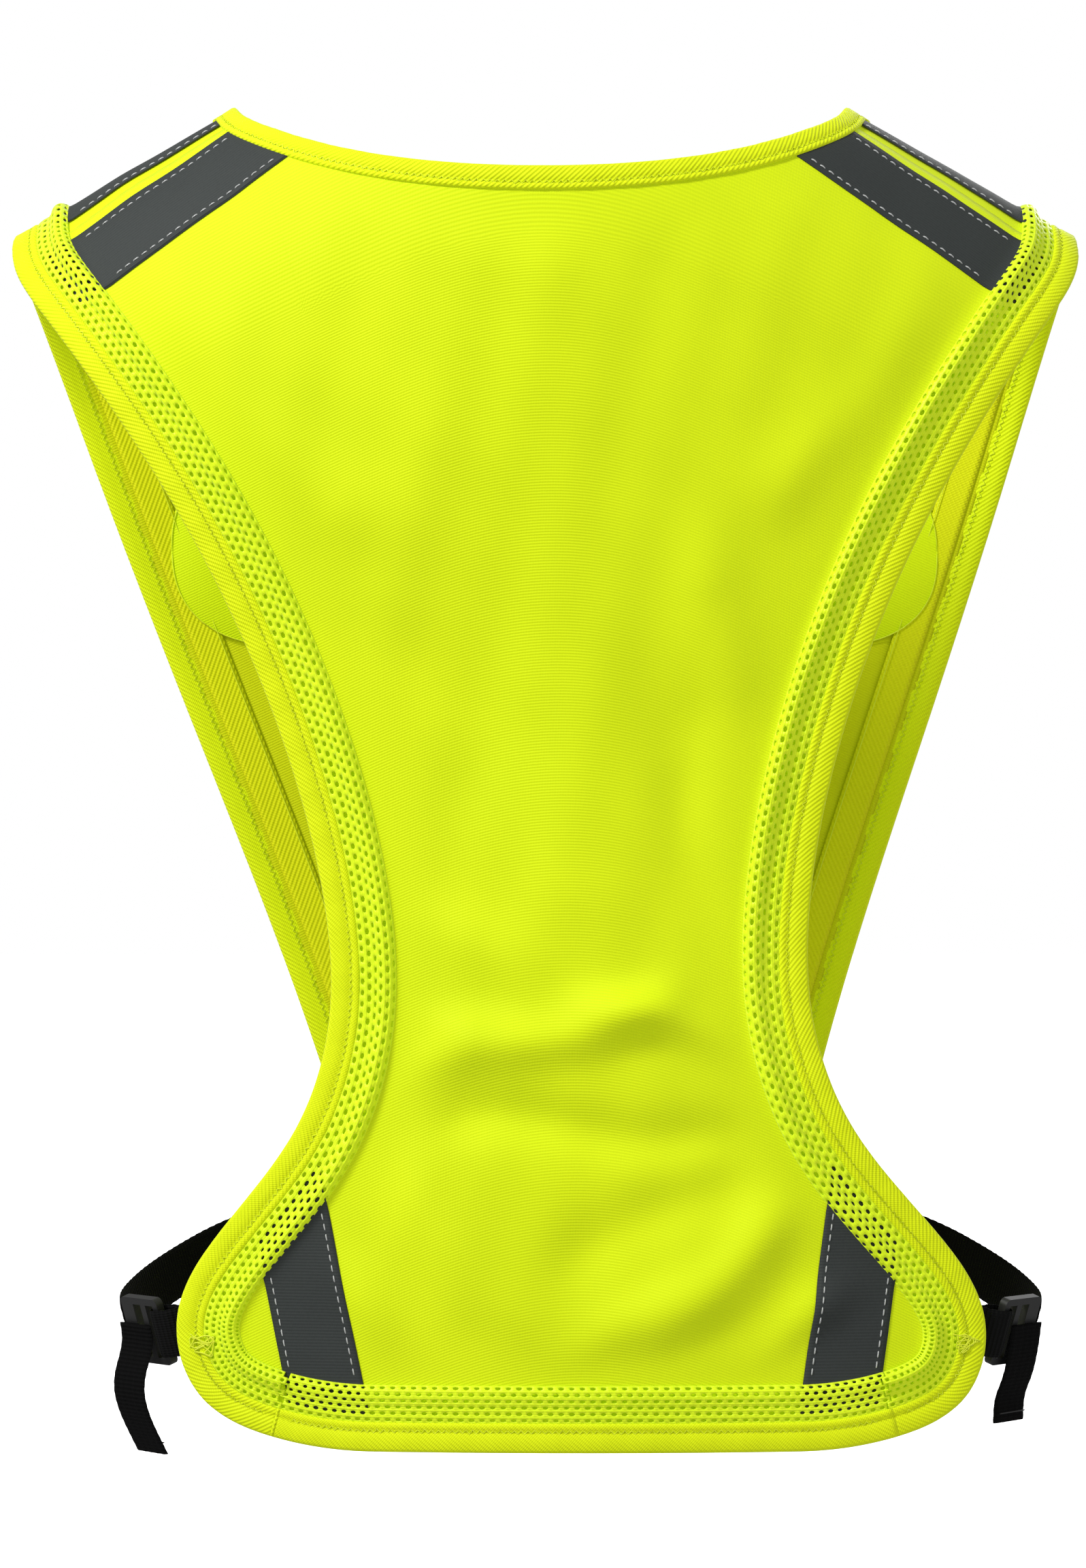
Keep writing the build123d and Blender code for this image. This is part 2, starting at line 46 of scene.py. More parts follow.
# ---- the vest's own form, in mm
SHOULDER_SLOPE = 0.62
CROWN_REACH = 132.9
NECK_ROUNDING = 60.0
BACK_DEPTH = 76.0
FRONT_DEPTH = 80.0
SIDE_WRAP = 32.0
CROWN_FALL = 100.0
TIP_FALL_LOSS = 15.0
TIP_HALF_WIDTH = 200.0
LUMBAR_SWAY = 9.0
SWAY_LENGTH = 400.0
LEAN = 0.033
HANG_STEP = 100.0
HEM = -517.0
EDGE = 207.0
MESH_END = 24.8
SEAM_DEPTH = 25.5
BACK_SHOULDER_TAPE = [(100, 2), (192, -60), (192, -90.5), (100, -26)]
BACK_CORNER_TAPE = [(97.5, -408), (127.5, -408), (111, -505), (81, -505)]
FRONT_CORNER_TAPE = [(93, -330), (123, -330), (66, -505), (36, -505)]
SHOULDER_TAPE_REAR = -20.5
SHOULDER_TAPE_AHEAD = 9.0
ZIP_GAP = 7.0
BACK, FRONT = -1, 1
SIDES = (("left", -1), ("right", 1))

BACK_SIDE = [(207, -56), (194, -83), (167, -121), (130, -186), (105, -251), (92, -311), (91.5, -352),
             (105, -394), (137, -436), (154, -470), (146, -497), (117, -512.5), (80, HEM)]
FRONT_SIDE = [(207, -56), (203, -76), (150, -234.5), (97, -393), (92, -418), (96.5, -455), (101, -492),
              (97, -508), (82, -515), (70, -515)]
BACK_NECK = [(121, 4), (116, -4.5), (106, -11), (84, -19.5), (45, -27.5), (0, -30)]
FRONT_NECK = [(121, 4), (113, -34), (88, -74), (48, -101), (0, -112)]


def crown_height(x):
    return SHOULDER_SLOPE * (CROWN_REACH - np.sqrt(x * x + NECK_ROUNDING**2))


def depth_at(x, ahead):
    """How far the hanging cloth is in front of the crown line, or behind it."""
    return np.where(ahead, FRONT_DEPTH, BACK_DEPTH) - SIDE_WRAP * (x / TIP_HALF_WIDTH) ** 2


def fall_at(x):
    """How far below the crown line the cloth begins to hang."""
    return CROWN_FALL - TIP_FALL_LOSS * (x / TIP_HALF_WIDTH) ** 2


def skin(x, turn):
    """The cloth surface: turn 0 on the shoulder crown, past 1 hanging; negative at the back."""
    x, turn = np.broadcast_arrays(np.asarray(x, float), np.asarray(turn, float))
    ahead = turn > 0
    bend = np.minimum(np.abs(turn), 1.0) * np.pi / 2
    hang = np.maximum(np.abs(turn) - 1.0, 0.0) * HANG_STEP
    sway = np.where(ahead, 0.0, LUMBAR_SWAY * np.sin(np.pi * np.minimum(hang / SWAY_LENGTH, 1.0)) ** 2)
    height = crown_height(x) - fall_at(x) * (1 - np.cos(bend)) - hang
    y = np.where(ahead, 1.0, -1.0) * (depth_at(x, ahead) * np.sin(bend) - sway)
    return np.stack([x - LEAN * height, y, height], axis=-1)


def turn_at(x, height, side):
    """The turn value where the cloth passes a height."""
    x, height = np.asarray(x, float), np.asarray(height, float)
    fall = fall_at(x)
    drop = crown_height(x) - height
    bend = np.arccos(np.clip(1 - drop / fall, -1.0, 1.0)) / (np.pi / 2)
    return side * np.where(drop < fall, bend, 1 + (drop - fall) / HANG_STEP)


def surface_normal(x, turn):
    """Outward unit normals of the cloth."""
    step = 0.01
    along = skin(x, turn + step) - skin(x, turn - step)
    across = skin(x + 0.5, turn) - skin(x - 0.5, turn)
    return unit(np.cross(across, along))


def raised(x, turn, lift):
    """The smooth cloth surface, moved outwards."""
    return skin(x, turn) + surface_normal(x, turn) * np.asarray(lift, float)[..., None]


def unit(vectors):
    length = np.linalg.norm(vectors, axis=-1, keepdims=True)
    return vectors / np.maximum(length, 1e-9)


def find_on_cloth(points):
    """The x and turn values of the cloth nearest to points in space."""
    x = points[..., 0] + LEAN * points[..., 2]
    side = np.where(points[..., 1] > 0, 1.0, -1.0)
    depth, fall = depth_at(x, side > 0), fall_at(x)
    up = points[..., 2] - (crown_height(x) - fall)
    bend = np.arctan2(np.abs(points[..., 1]) / depth, np.maximum(up, 0.0) / fall) / (np.pi / 2)
    turn = np.where(up > 0, bend, 1 - up / HANG_STEP)
    return x, side * turn


def lengths(points):
    """How far along a line each of its points is."""
    return np.concatenate([[0], np.cumsum(np.linalg.norm(np.diff(points, axis=0), axis=1))])


def smooth(points, count, start=None, end=None):
    """A cubic spline through points, with its end ways if given, at even steps of its length."""
    points = np.asarray(points, float)
    knots = lengths(points)
    size = len(points)
    matrix = np.zeros((size, size))
    right = np.zeros_like(points)
    gaps = np.diff(knots)
    for row in range(1, size - 1):
        matrix[row, row - 1] = gaps[row]
        matrix[row, row] = 2 * (gaps[row - 1] + gaps[row])
        matrix[row, row + 1] = gaps[row - 1]
        back_slope = (points[row] - points[row - 1]) / gaps[row - 1]
        next_slope = (points[row + 1] - points[row]) / gaps[row]
        right[row] = 3 * (gaps[row] * back_slope + gaps[row - 1] * next_slope)
    for row, way in ((0, start), (size - 1, end)):
        near = 1 if row == 0 else size - 2
        if way is not None:
            matrix[row, row] = 1.0
            right[row] = way
        else:
            matrix[row, row], matrix[row, near] = 2.0, 1.0
            right[row] = 3 * (points[near] - points[row]) / (knots[near] - knots[row])
    slopes = np.linalg.solve(matrix, right)
    dense = np.linspace(0, knots[-1], SPLINE_POINTS)
    cell = np.clip(np.searchsorted(knots, dense, side="right") - 1, 0, size - 2)
    h = gaps[cell][:, None]
    t = (dense - knots[cell])[:, None] / h
    curve = ((2 * t**3 - 3 * t**2 + 1) * points[cell] + (t**3 - 2 * t**2 + t) * h * slopes[cell]
             + (-2 * t**3 + 3 * t**2) * points[cell + 1] + (t**3 - t**2) * h * slopes[cell + 1])
    return even(curve, count)


def even(curve, count):
    """A polyline sampled again at even steps of its length."""
    curve = np.asarray(curve, float)
    length = lengths(curve)
    wanted = np.linspace(0, length[-1], count)
    return np.stack([np.interp(wanted, length, curve[:, axis]) for axis in range(curve.shape[1])], axis=1)


def inset(curve, amount):
    """A flat curve moved to the right of its way."""
    way = unit(np.gradient(curve, axis=0))
    return curve + np.stack([way[:, 1], -way[:, 0]], axis=1) * amount


# ---- mesh helpers
SAME_POINT = 0.00002


def piece_from(name, points, faces, uvs=None, material=None, smooth_shade=True):
    """A Blender object from points in mm, in the frame's own metres."""
    mesh = bpy.data.meshes.new(name)
    mesh.from_pydata((np.asarray(points) * MM).tolist(), [], [list(map(int, face)) for face in faces])
    if uvs is not None:
        layer = mesh.uv_layers.new(name="UVMap")
        index = np.empty(len(mesh.loops), dtype=np.int32)
        mesh.loops.foreach_get("vertex_index", index)
        layer.data.foreach_set("uv", np.asarray(uvs, float)[index].ravel())
    mesh.polygons.foreach_set("use_smooth", [smooth_shade] * len(mesh.polygons))
    mesh.update()
    piece = bpy.data.objects.new(name, mesh)
    bpy.context.scene.collection.objects.link(piece)
    if material is not None:
        mesh.materials.append(material)
    return piece


def grid_faces(rows, columns, closed=False):
    faces = []
    across = columns if closed else columns - 1
    for row in range(rows - 1):
        for column in range(across):
            after = (column + 1) % columns
            faces.append((row * columns + column, row * columns + after,
                          (row + 1) * columns + after, (row + 1) * columns + column))
    return faces


def cloth_grid(name, points, uvs, material, thickness, outward=1.0):
    """An open grid of cloth with a thickness."""
    rows, columns = points.shape[:2]
    piece = piece_from(name, points.reshape(-1, 3), grid_faces(rows, columns), uvs.reshape(-1, 2), material)
    solid = piece.modifiers.new("thickness", "SOLIDIFY")
    solid.thickness = thickness * MM
    solid.offset = -outward
    return piece


def uv_grid(u, v):
    """UVs in metres from distances in mm."""
    return np.stack(np.broadcast_arrays(u * MM, v * MM), axis=-1)


def closed_strip(name, rings, uvs, material):
    """A solid strip from rings of points whose first and last points are the same."""
    rows, columns = rings.shape[:2]
    faces = grid_faces(rows, columns)
    faces.append(tuple(range(columns - 1)))
    faces.append(tuple(reversed(range((rows - 1) * columns, rows * columns - 1))))
    return close_seams(piece_from(name, rings.reshape(-1, 3), faces, uvs.reshape(-1, 2), material))


def close_seams(piece):
    """Joins points that lie on each other and turns the faces outwards."""
    work = bmesh.new()
    work.from_mesh(piece.data)
    bmesh.ops.remove_doubles(work, verts=work.verts, dist=SAME_POINT)
    bmesh.ops.recalc_face_normals(work, faces=work.faces)
    work.to_mesh(piece.data)
    work.free()
    return piece


def settle(piece, slot, *replaced, body="vest"):
    """Hangs a piece on its body and hides the CAD nodes it stands for; slot is not used."""
    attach(piece, body)
    if replaced:
        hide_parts(*replaced)
    return piece


# ---- materials
TWILL_TURN = 0.72
WAVE_PITCH = 0.314
COLOR_STOPS = (0.30, 0.85)
GRAIN = 600.0
GRAIN_DEPTH = 0.0002


def feed(tree, node, inputs):
    """Fills a node's inputs: a socket is linked, and anything else is a value."""
    for key, value in inputs.items():
        if isinstance(value, bpy.types.NodeSocket):
            tree.links.new(value, node.inputs[key])
        else:
            node.inputs[key].default_value = value
    return node


def add_node(tree, kind, inputs):
    return feed(tree, tree.nodes.new("ShaderNode" + kind), inputs)


def scaled_sum(tree, source, factor, added):
    """The socket of source times factor plus added."""
    node = add_node(tree, "Math", {0: source, 1: factor, 2: added})
    node.operation = "MULTIPLY_ADD"
    return node.outputs[0]


def bands(tree, vector, direction, pitch, inputs):
    """A wave of bands at a pitch in metres."""
    node = add_node(tree, "TexWave", {"Vector": vector, "Scale": WAVE_PITCH / pitch, **inputs})
    node.bands_direction = direction
    return node.outputs["Fac"]


def color_ramp(tree, factor, colors, stops=(0.0, 1.0)):
    ramp = add_node(tree, "ValToRGB", {"Fac": factor})
    for element, color, stop in zip(ramp.color_ramp.elements, colors, stops):
        element.position = stop
        element.color = (*color, 1)
    return ramp.outputs["Color"]


def node_material(name):
    material = bpy.data.materials.new(name)
    material.use_nodes = True
    tree = material.node_tree
    tree.nodes.clear()
    shader = add_node(tree, "BsdfPrincipled", {})
    add_node(tree, "OutputMaterial", {"Surface": shader.outputs["BSDF"]})
    return material, tree, shader


def cloth_material(name, dark, light, rib=0.0011, rib_depth=0.35, twill=False, rough=0.62,
                   sheen=0.25, fuzz=0.05, glow=0.0, gloss=0.15):
    """Woven cloth: ribs or twill along the piece's own UVs, with cloudy colour; glow adds painted light, the
    cloth giving off its own colour.
    """
    material, tree, shader = node_material(name)
    coords = add_node(tree, "TexCoord", {}).outputs
    turn = add_node(tree, "Mapping", {"Vector": coords["UV"],
                                      "Rotation": (0, 0, TWILL_TURN if twill else 0.0)}).outputs["Vector"]
    ribs = bands(tree, turn, "Y", rib, {"Distortion": 0.35, "Detail": 1.0})
    yarns = bands(tree, turn, "X", rib * 0.55, {"Distortion": 0.5})
    weave = scaled_sum(tree, yarns, 0.35, ribs)
    cloud = add_node(tree, "TexNoise", {"Vector": coords["Object"], "Scale": 14.0, "Detail": 5.0})
    fine = add_node(tree, "TexNoise", {"Vector": coords["Object"], "Scale": 900.0, "Detail": 2.0})
    shade = scaled_sum(tree, cloud.outputs["Fac"], 0.35, 0.33)
    shade = scaled_sum(tree, fine.outputs["Fac"], fuzz, shade)
    color = color_ramp(tree, scaled_sum(tree, weave, 0.16, shade), (dark, light), COLOR_STOPS)
    bump = add_node(tree, "Bump", {"Strength": rib_depth, "Distance": rib * 0.25, "Height": weave})
    feed(tree, shader, {"Base Color": color, "Normal": bump.outputs["Normal"], "Roughness": rough,
                        "Sheen Weight": sheen, "Specular IOR Level": gloss})
    # painted light: with glow the cloth gives off its own colour, brighter than the lamps alone make it
    if glow:
        feed(tree, shader, {"Emission Color": color, "Emission Strength": glow})
    return material


def plain_material(name, color, rough=0.5, metallic=0.0):
    """Moulded plastic, enamel or thread: one colour, with a little grain."""
    material, tree, shader = node_material(name)
    coords = add_node(tree, "TexCoord", {}).outputs
    noise = add_node(tree, "TexNoise", {"Vector": coords["Object"], "Scale": GRAIN, "Detail": 3.0})
    grain = noise.outputs["Fac"]
    tones = [[min(1.0, channel * share) for channel in color] for share in (0.8, 1.15)]
    bump = add_node(tree, "Bump", {"Strength": 0.08, "Distance": GRAIN_DEPTH, "Height": grain})
    feed(tree, shader, {"Base Color": color_ramp(tree, grain, tones), "Normal": bump.outputs["Normal"],
                        "Roughness": rough, "Metallic": metallic})
    return material


def paper_material():
    """The floor's pale paper, which glows a little so that it stays white."""
    material, tree, shader = node_material("backdrop_paper")
    feed(tree, shader, {"Base Color": (0.9, 0.9, 0.9, 1.0), "Roughness": 0.9,
                        "Emission Color": (1.0, 1.0, 1.0, 1.0), "Emission Strength": 0.72})
    return material


# Glow on the panel, inner, binding, mesh and facing cloths is painted light that brightens them.
PANEL = cloth_material("panel_cloth", (0.58, 0.76, 0.001), (0.80, 0.95, 0.004), sheen=0.05, glow=0.05)
# The inside of the front cloths: a darker, duller copy of the panel cloth, painted shade for the shadow
# inside the vest.
SHADED_INNER_CLOTH = cloth_material("shaded_inner_cloth", (0.56, 0.60, 0.001), (0.72, 0.76, 0.003), sheen=0.05, glow=0.02)
BINDING_CLOTH = cloth_material("binding_twill", (0.66, 0.82, 0.001), (0.84, 0.95, 0.004), rib=0.0014,
                               rib_depth=0.6, twill=True, sheen=0.05, glow=0.05)
MESH_CLOTH = cloth_material("mesh_net", (0.56, 0.78, 0.002), (0.80, 0.97, 0.02), rib=0.0009,
                            rough=0.34, sheen=0.08, glow=0.12)
TAPE_CLOTH = cloth_material("reflective_tape", (0.026, 0.030, 0.029), (0.044, 0.050, 0.048), rib=0.0012,
                            rib_depth=0.25, rough=0.6, sheen=0.0, fuzz=0.3)
ELASTIC = cloth_material("black_elastic", (0.001, 0.001, 0.001), (0.005, 0.005, 0.005), rib=0.0016,
                         rib_depth=0.8, rough=0.9, sheen=0.0, gloss=0.06)
WEBBING = cloth_material("black_webbing", (0.002, 0.002, 0.002), (0.008, 0.008, 0.008), rib=0.0018,
                         rib_depth=0.9, rough=0.8, sheen=0.0, gloss=0.08)
FACING_CLOTH = cloth_material("facing_twill", (0.66, 0.68, 0.002), (0.82, 0.84, 0.006), rib=0.0017,
                              rib_depth=0.5, sheen=0.0, twill=True, glow=0.02)
ZIP_CLOTH = cloth_material("zip_tape_weave", (0.52, 0.72, 0.002), (0.72, 0.90, 0.01), rib=0.0008,
                           rib_depth=0.6)
THREAD = plain_material("lime_thread", (0.78, 0.90, 0.02))
PALE_THREAD = plain_material("pale_thread", (0.50, 0.51, 0.50), rough=0.45)
BLACK_THREAD = plain_material("black_thread", (0.008, 0.008, 0.008), rough=0.6)
PAPER = paper_material()
PLASTIC = plain_material("black_plastic", (0.005, 0.005, 0.005), rough=0.6)
ZIP_PLASTIC = plain_material("lime_plastic", (0.60, 0.80, 0.01), rough=0.35)
ENAMEL = plain_material("black_enamel", (0.010, 0.010, 0.011), rough=0.28, metallic=0.3)

# ---- paths on the cloth
UNDER_MESH = 8.5
UNDER_TAPE = 13.0
BACK_HEM_JOIN = 120.0
FRONT_HEM_JOIN = 72.0
HEM_JOIN_HEIGHT = -500.0
LEVEL_POINTS = 40
CROWN_POINTS = 28
EDGE_COUNT = 420
back_curve = smooth(BACK_SIDE, 900, start=(0.0, -1.0), end=(-1.0, 0.0))
front_curve = smooth(FRONT_SIDE, 900, start=(0.0, -1.0), end=(-1.0, 0.0))
back_neck = smooth(BACK_NECK, 300, end=(-1.0, 0.0))
front_neck = smooth(FRONT_NECK, 300, end=(-1.0, 0.0))


def ease(value):
    value = np.clip(value, 0.0, 1.0)
    return value * value * (3 - 2 * value)


def as_turns(curve, side):
    return np.stack([curve[:, 0], turn_at(curve[:, 0], curve[:, 1], side)], axis=1)


def run_in(curve, stop):
    """The curve, carried on level from its end to a width."""
    across = np.linspace(curve[-1, 0], stop, LEVEL_POINTS)[1:]
    return np.concatenate([curve, np.stack([across, np.full(len(across), curve[-1, 1])], axis=1)])


def edge_route(amount=0.0):
    """The right edge, inset, as x and turn: back hem middle, hip, armhole, crown, front hem."""
    back = as_turns(run_in(inset(back_curve, amount), 0.0), BACK)
    front = as_turns(run_in(inset(front_curve, amount), ZIP_GAP), FRONT)
    crown_turns = np.linspace(back[0, 1], front[0, 1], CROWN_POINTS + 2)[1:-1]
    crown = np.stack([np.full(CROWN_POINTS, EDGE - amount), crown_turns], axis=1)
    return np.concatenate([back[::-1], crown, front])


def flat_even(route, count):
    """A route sampled at even steps of its own length."""
    scaled = even(route * [1.0, HANG_STEP], count)
    return scaled / [1.0, HANG_STEP]


def crown_turn(x, y, ahead):
    """The turn value where the crown's bend passes a depth."""
    return np.arcsin(y / depth_at(x, ahead)) / (np.pi / 2)


def seam_turn(x):
    """The turn of the shoulder seam, which is a little behind the crown."""
    return crown_turn(x, -SEAM_DEPTH, False)


def neck_turn(x, margin):
    """The turn a little below the back neck edge at a width."""
    height = np.interp(np.abs(x), back_neck[::-1, 0], back_neck[::-1, 1]) - margin
    return np.where(np.abs(x) < back_neck[0, 0], turn_at(x, height, BACK), 0.0)


def width_at(height, amount, side):
    """Half width of the back or the front at a height, inset."""
    curve = inset(back_curve if side == BACK else front_curve, amount)
    falling = curve[np.concatenate([[True], np.diff(np.minimum.accumulate(curve[:, 1])) < 0])]
    return np.interp(height, falling[::-1, 1], falling[::-1, 0])


def hang_shape(x):
    """How much later in turn a fixed height comes where the crown is lower."""
    return (crown_height(x) + TIP_FALL_LOSS * (x / TIP_HALF_WIDTH) ** 2) / HANG_STEP


def lay_route(route, step, sign):
    """Points, inward ways and lengths along a route on the cloth; sign chooses the inward side."""
    spread = np.linspace(0, 1, ROUTE_POINTS)
    places = np.linspace(0, 1, len(route))
    dense_x = np.interp(spread, places, route[:, 0])
    dense_turn = np.interp(spread, places, route[:, 1])
    dense = skin(dense_x, dense_turn)
    length = lengths(dense)
    wanted = np.linspace(0, length[-1], max(2, int(round(length[-1] / step)) + 1))
    x = np.interp(wanted, length, dense_x)
    turn = np.interp(wanted, length, dense_turn)
    points = skin(x, turn)
    tangent = unit(np.gradient(points, axis=0))
    inward = sign * unit(np.cross(tangent, surface_normal(x, turn)))
    return points, inward, wanted


def on_cloth(points, lift):
    """Points moved onto the cloth surface and lifted off it."""
    return raised(*find_on_cloth(points), lift)


# ---- wrinkles
# Each fold: x and z of its two ends, half width, and height before FOLD_STRENGTH. All in mm.
BACK_FOLDS = [
    (-62, -372, 20, -352, 9.0, 2.6), (20, -352, 84, -366, 8.0, 2.2), (-30, -392, 60, -398, 10.0, -2.0),
    (-84, -300, -30, -330, 12.0, 1.3), (92, -420, 30, -470, 10.0, 2.4), (110, -450, 62, -490, 8.0, 1.8),
    (70, -405, 10, -440, 12.0, -1.6), (-100, -440, -60, -495, 10.0, 1.6), (-60, -420, -20, -480, 14.0, 1.2),
    (150, -95, 90, -150, 16.0, 1.3), (-150, -95, -85, -160, 18.0, 1.5), (-90, -180, -30, -250, 20.0, -1.2),
    (60, -190, 96, -290, 15.0, 1.3), (0, -60, 8, -300, 26.0, 1.0), (-40, -60, -60, -190, 22.0, 0.9),
    (40, -250, 70, -330, 14.0, -1.2), (-20, -500, 30, -462, 9.0, 1.4), (-92, -345, -50, -352, 7.0, 1.4)]
FRONT_FOLDS = [
    (150, -110, 70, -200, 16.0, 1.6), (120, -230, 40, -300, 15.0, -1.4), (95, -330, 30, -350, 10.0, 1.8),
    (85, -400, 30, -450, 12.0, 1.4), (60, -200, 40, -330, 20.0, 1.0), (130, -160, 90, -250, 14.0, 1.2)]
# Each ripple: height, then x rate, z rate and phase of its two sine waves.
RIPPLES = [(0.6, (0.061, 0.019, 0.0), (-0.013, 0.043, 1.0)), (0.25, (0.15, 0.05, 2.0), (-0.07, 0.11, 0.0))]
FADE = 30.0
FOLD_STRENGTH = 2.0
FOLD_SWAY = 3.0
FOLD_SWAY_RATE = 0.06
FOLD_FADE = 22.0
MESH_CLEAR = 2.0
NECK_CLEAR = 12.0
ZIP_CLEAR = 8.0
ROLL_RISE = 2.3
ROLL_CENTRE = 21.0
ROLL_HALF = 3.2
ROLL_CLEAR = 10.0
ROLL_FADE = 12.0
MARKS_AT_ONCE = 2000
edge_marks = flat_even(edge_route(), EDGE_COUNT)
EDGE_MARKS = skin(edge_marks[:, 0], edge_marks[:, 1])


def edge_distance(x, turn):
    """Straight distance from points of the cloth to the vest's outer edge."""
    places = skin(np.abs(x), turn).reshape(-1, 3)
    nearest = np.empty(len(places))
    for start in range(0, len(places), MARKS_AT_ONCE):
        part = places[start:start + MARKS_AT_ONCE]
        gaps = part[:, None] - EDGE_MARKS[None]
        nearest[start:start + MARKS_AT_ONCE] = np.sqrt((gaps**2).sum(axis=-1)).min(axis=1)
    return nearest.reshape(np.shape(x))


def relief(x, turn, height, side):
    """How far wrinkles, and the roll under the mesh, lift the cloth off its smooth surface."""
    folds = BACK_FOLDS if side == BACK else FRONT_FOLDS
    across = x if side == BACK else np.abs(x)
    total = 0.0
    for rise, *waves in RIPPLES:
        first, second = [np.sin(x * by_x + height * by_z + phase) for by_x, by_z, phase in waves]
        total = total + rise * first * second
    for x0, z0, x1, z1, half_width, rise in folds:
        way = np.array([x1 - x0, z1 - z0], float)
        length = np.hypot(*way)
        way /= length
        along = (across - x0) * way[0] + (height - z0) * way[1]
        off = (across - x0) * way[1] - (height - z0) * way[0]
        off = off + FOLD_SWAY * np.sin(along * FOLD_SWAY_RATE + x0)
        ends = np.maximum(np.maximum(-along, along - length), 0.0)
        total = total + FOLD_STRENGTH * rise * np.exp(-(off / half_width) ** 2 - (ends / FOLD_FADE) ** 2)
    edge = edge_distance(x, turn)
    fade = ease((edge - MESH_END - MESH_CLEAR) / FADE)
    neck_curve = back_neck if side == BACK else front_neck
    neck = np.interp(np.abs(x), neck_curve[::-1, 0], neck_curve[::-1, 1])
    if side == FRONT:
        fade = fade * ease((np.abs(x) - ZIP_GAP - ZIP_CLEAR) / FADE)
    roll = ROLL_RISE * np.exp(-((edge - ROLL_CENTRE) / ROLL_HALF) ** 2)
    roll = roll * ease((height - HEM - ROLL_CENTRE - ROLL_CLEAR) / ROLL_FADE)
    return total * fade * ease((neck - height - NECK_CLEAR) / FADE) + roll


def dressed(x, turn, lift=0.0):
    """The wrinkled cloth surface, lifted."""
    x, turn = np.broadcast_arrays(x, turn)
    height = skin(x, turn)[..., 2]
    rise = np.empty(x.shape)
    for part, side in ((turn < 0, BACK), (turn >= 0, FRONT)):
        rise[part] = relief(x[part], turn[part], height[part], side)
    return raised(x, turn, rise + lift)


# ---- cloth panels
CLOTH_THICK = 0.5
BACK_ROWS, BACK_COLUMNS = 170, 150
FRONT_NECK_ROWS, FRONT_ZIP_ROWS, FRONT_COLUMNS = 60, 120, 84
ARMHOLE_BEND = -190.0
SEAM_START = 100.0
NECK_MARGIN = 2.0
right_cloth_edge = edge_route(UNDER_MESH)
behind_seam = right_cloth_edge[:, 1] < seam_turn(right_cloth_edge[:, 0])
cloth_end = skin(right_cloth_edge[:, 0], right_cloth_edge[:, 1])[:, 2] > HEM + UNDER_MESH + 1.0
back_edge = flat_even(right_cloth_edge[behind_seam & cloth_end][::-1], BACK_ROWS)
front_edge = right_cloth_edge[~behind_seam & cloth_end]


def cloth_uvs(x, turn):
    return uv_grid(x, -turn * HANG_STEP)


def make_back_cloth():
    across = np.linspace(-1, 1, BACK_COLUMNS)[None, :]
    half, side_turn = back_edge[:, :1], back_edge[:, 1:]
    level = np.linspace(0, 1, len(back_edge))[:, None]
    x = across * half
    top_x = across * half[0]
    shoulder = np.where(np.abs(top_x) > SEAM_START, seam_turn(top_x), 0.0)
    top = np.minimum(neck_turn(top_x, NECK_MARGIN), shoulder)
    turn = side_turn + (1 - level) ** 1.5 * (top - side_turn[0])
    turn = turn - ease(level * 2.2) * (hang_shape(x) - hang_shape(half))
    points = dressed(x, turn)
    piece = cloth_grid("back_cloth", points, cloth_uvs(x, turn), PANEL, CLOTH_THICK)
    settle(piece, "panel", "back_panel")


def make_front_cloth(side, sign):
    rise = as_turns(back_neck[back_neck[:, 0] > SEAM_START], BACK)[::-1]
    rise = rise[rise[:, 1] > seam_turn(rise[:, 0])]
    neck = as_turns(front_neck[front_neck[:, 0] > ZIP_GAP], FRONT)
    inner_top = flat_even(np.concatenate([rise, neck]), FRONT_NECK_ROWS)
    zip_heights = np.linspace(front_neck[-1, 1], HEM + UNDER_MESH, FRONT_ZIP_ROWS + 1)[1:]
    zip_line = as_turns(np.stack([np.full(FRONT_ZIP_ROWS, ZIP_GAP), zip_heights], axis=1), FRONT)
    inner = np.concatenate([inner_top, zip_line])
    outer_height = skin(front_edge[:, 0], front_edge[:, 1])[:, 2]
    bend = int(np.argmax((outer_height < ARMHOLE_BEND) & (front_edge[:, 1] > 0)))
    outer = np.concatenate([flat_even(front_edge[:bend], FRONT_NECK_ROWS),
                            flat_even(front_edge[bend:], FRONT_ZIP_ROWS)])
    across = np.linspace(0, 1, FRONT_COLUMNS)[None, :]
    level = np.concatenate([np.linspace(0, 1, FRONT_NECK_ROWS), np.ones(FRONT_ZIP_ROWS)])[:, None]
    x = inner[:, :1] + across * (outer[:, :1] - inner[:, :1])
    turn = inner[:, 1:] + across * (outer[:, 1:] - inner[:, 1:])
    straight = hang_shape(inner[:, :1]) + across * (hang_shape(outer[:, :1]) - hang_shape(inner[:, :1]))
    turn = turn + ease(level) * (hang_shape(x) - straight)
    x = x * sign
    points = dressed(x, turn)[:, ::sign]
    uvs = cloth_uvs(x, turn)[:, ::sign]
    piece = cloth_grid(f"front_cloth_{side}", points, uvs, PANEL, CLOTH_THICK)
    # The inside face gets the darker copy of the panel cloth: painted shade.
    piece.data.materials.append(SHADED_INNER_CLOTH)
    piece.modifiers["thickness"].material_offset = 1
    settle(piece, "panel", f"front_panel_{side}")


# ---- strips swept along the edges
BINDING_FACE = [(-0.3, 0.8), (0.1, 1.7), (1.2, 2.2), (4.0, 2.05), (6.8, 1.95), (7.7, 1.25), (8.5, 1.9),
                (9.9, 1.95), (10.9, 1.5), (11.1, 0.5), (10.9, -0.3), (9.5, -0.5), (4.0, -0.55), (0.5, -0.4)]
NECK_FACE = [(-0.3, 0.8), (0.1, 1.7), (1.2, 2.1), (3.6, 1.95), (5.6, 1.85), (6.4, 1.2), (7.1, 1.8),
             (8.2, 1.8), (8.9, 1.4), (9.1, 0.5), (8.9, -0.3), (7.6, -0.5), (3.6, -0.55), (0.5, -0.4)]
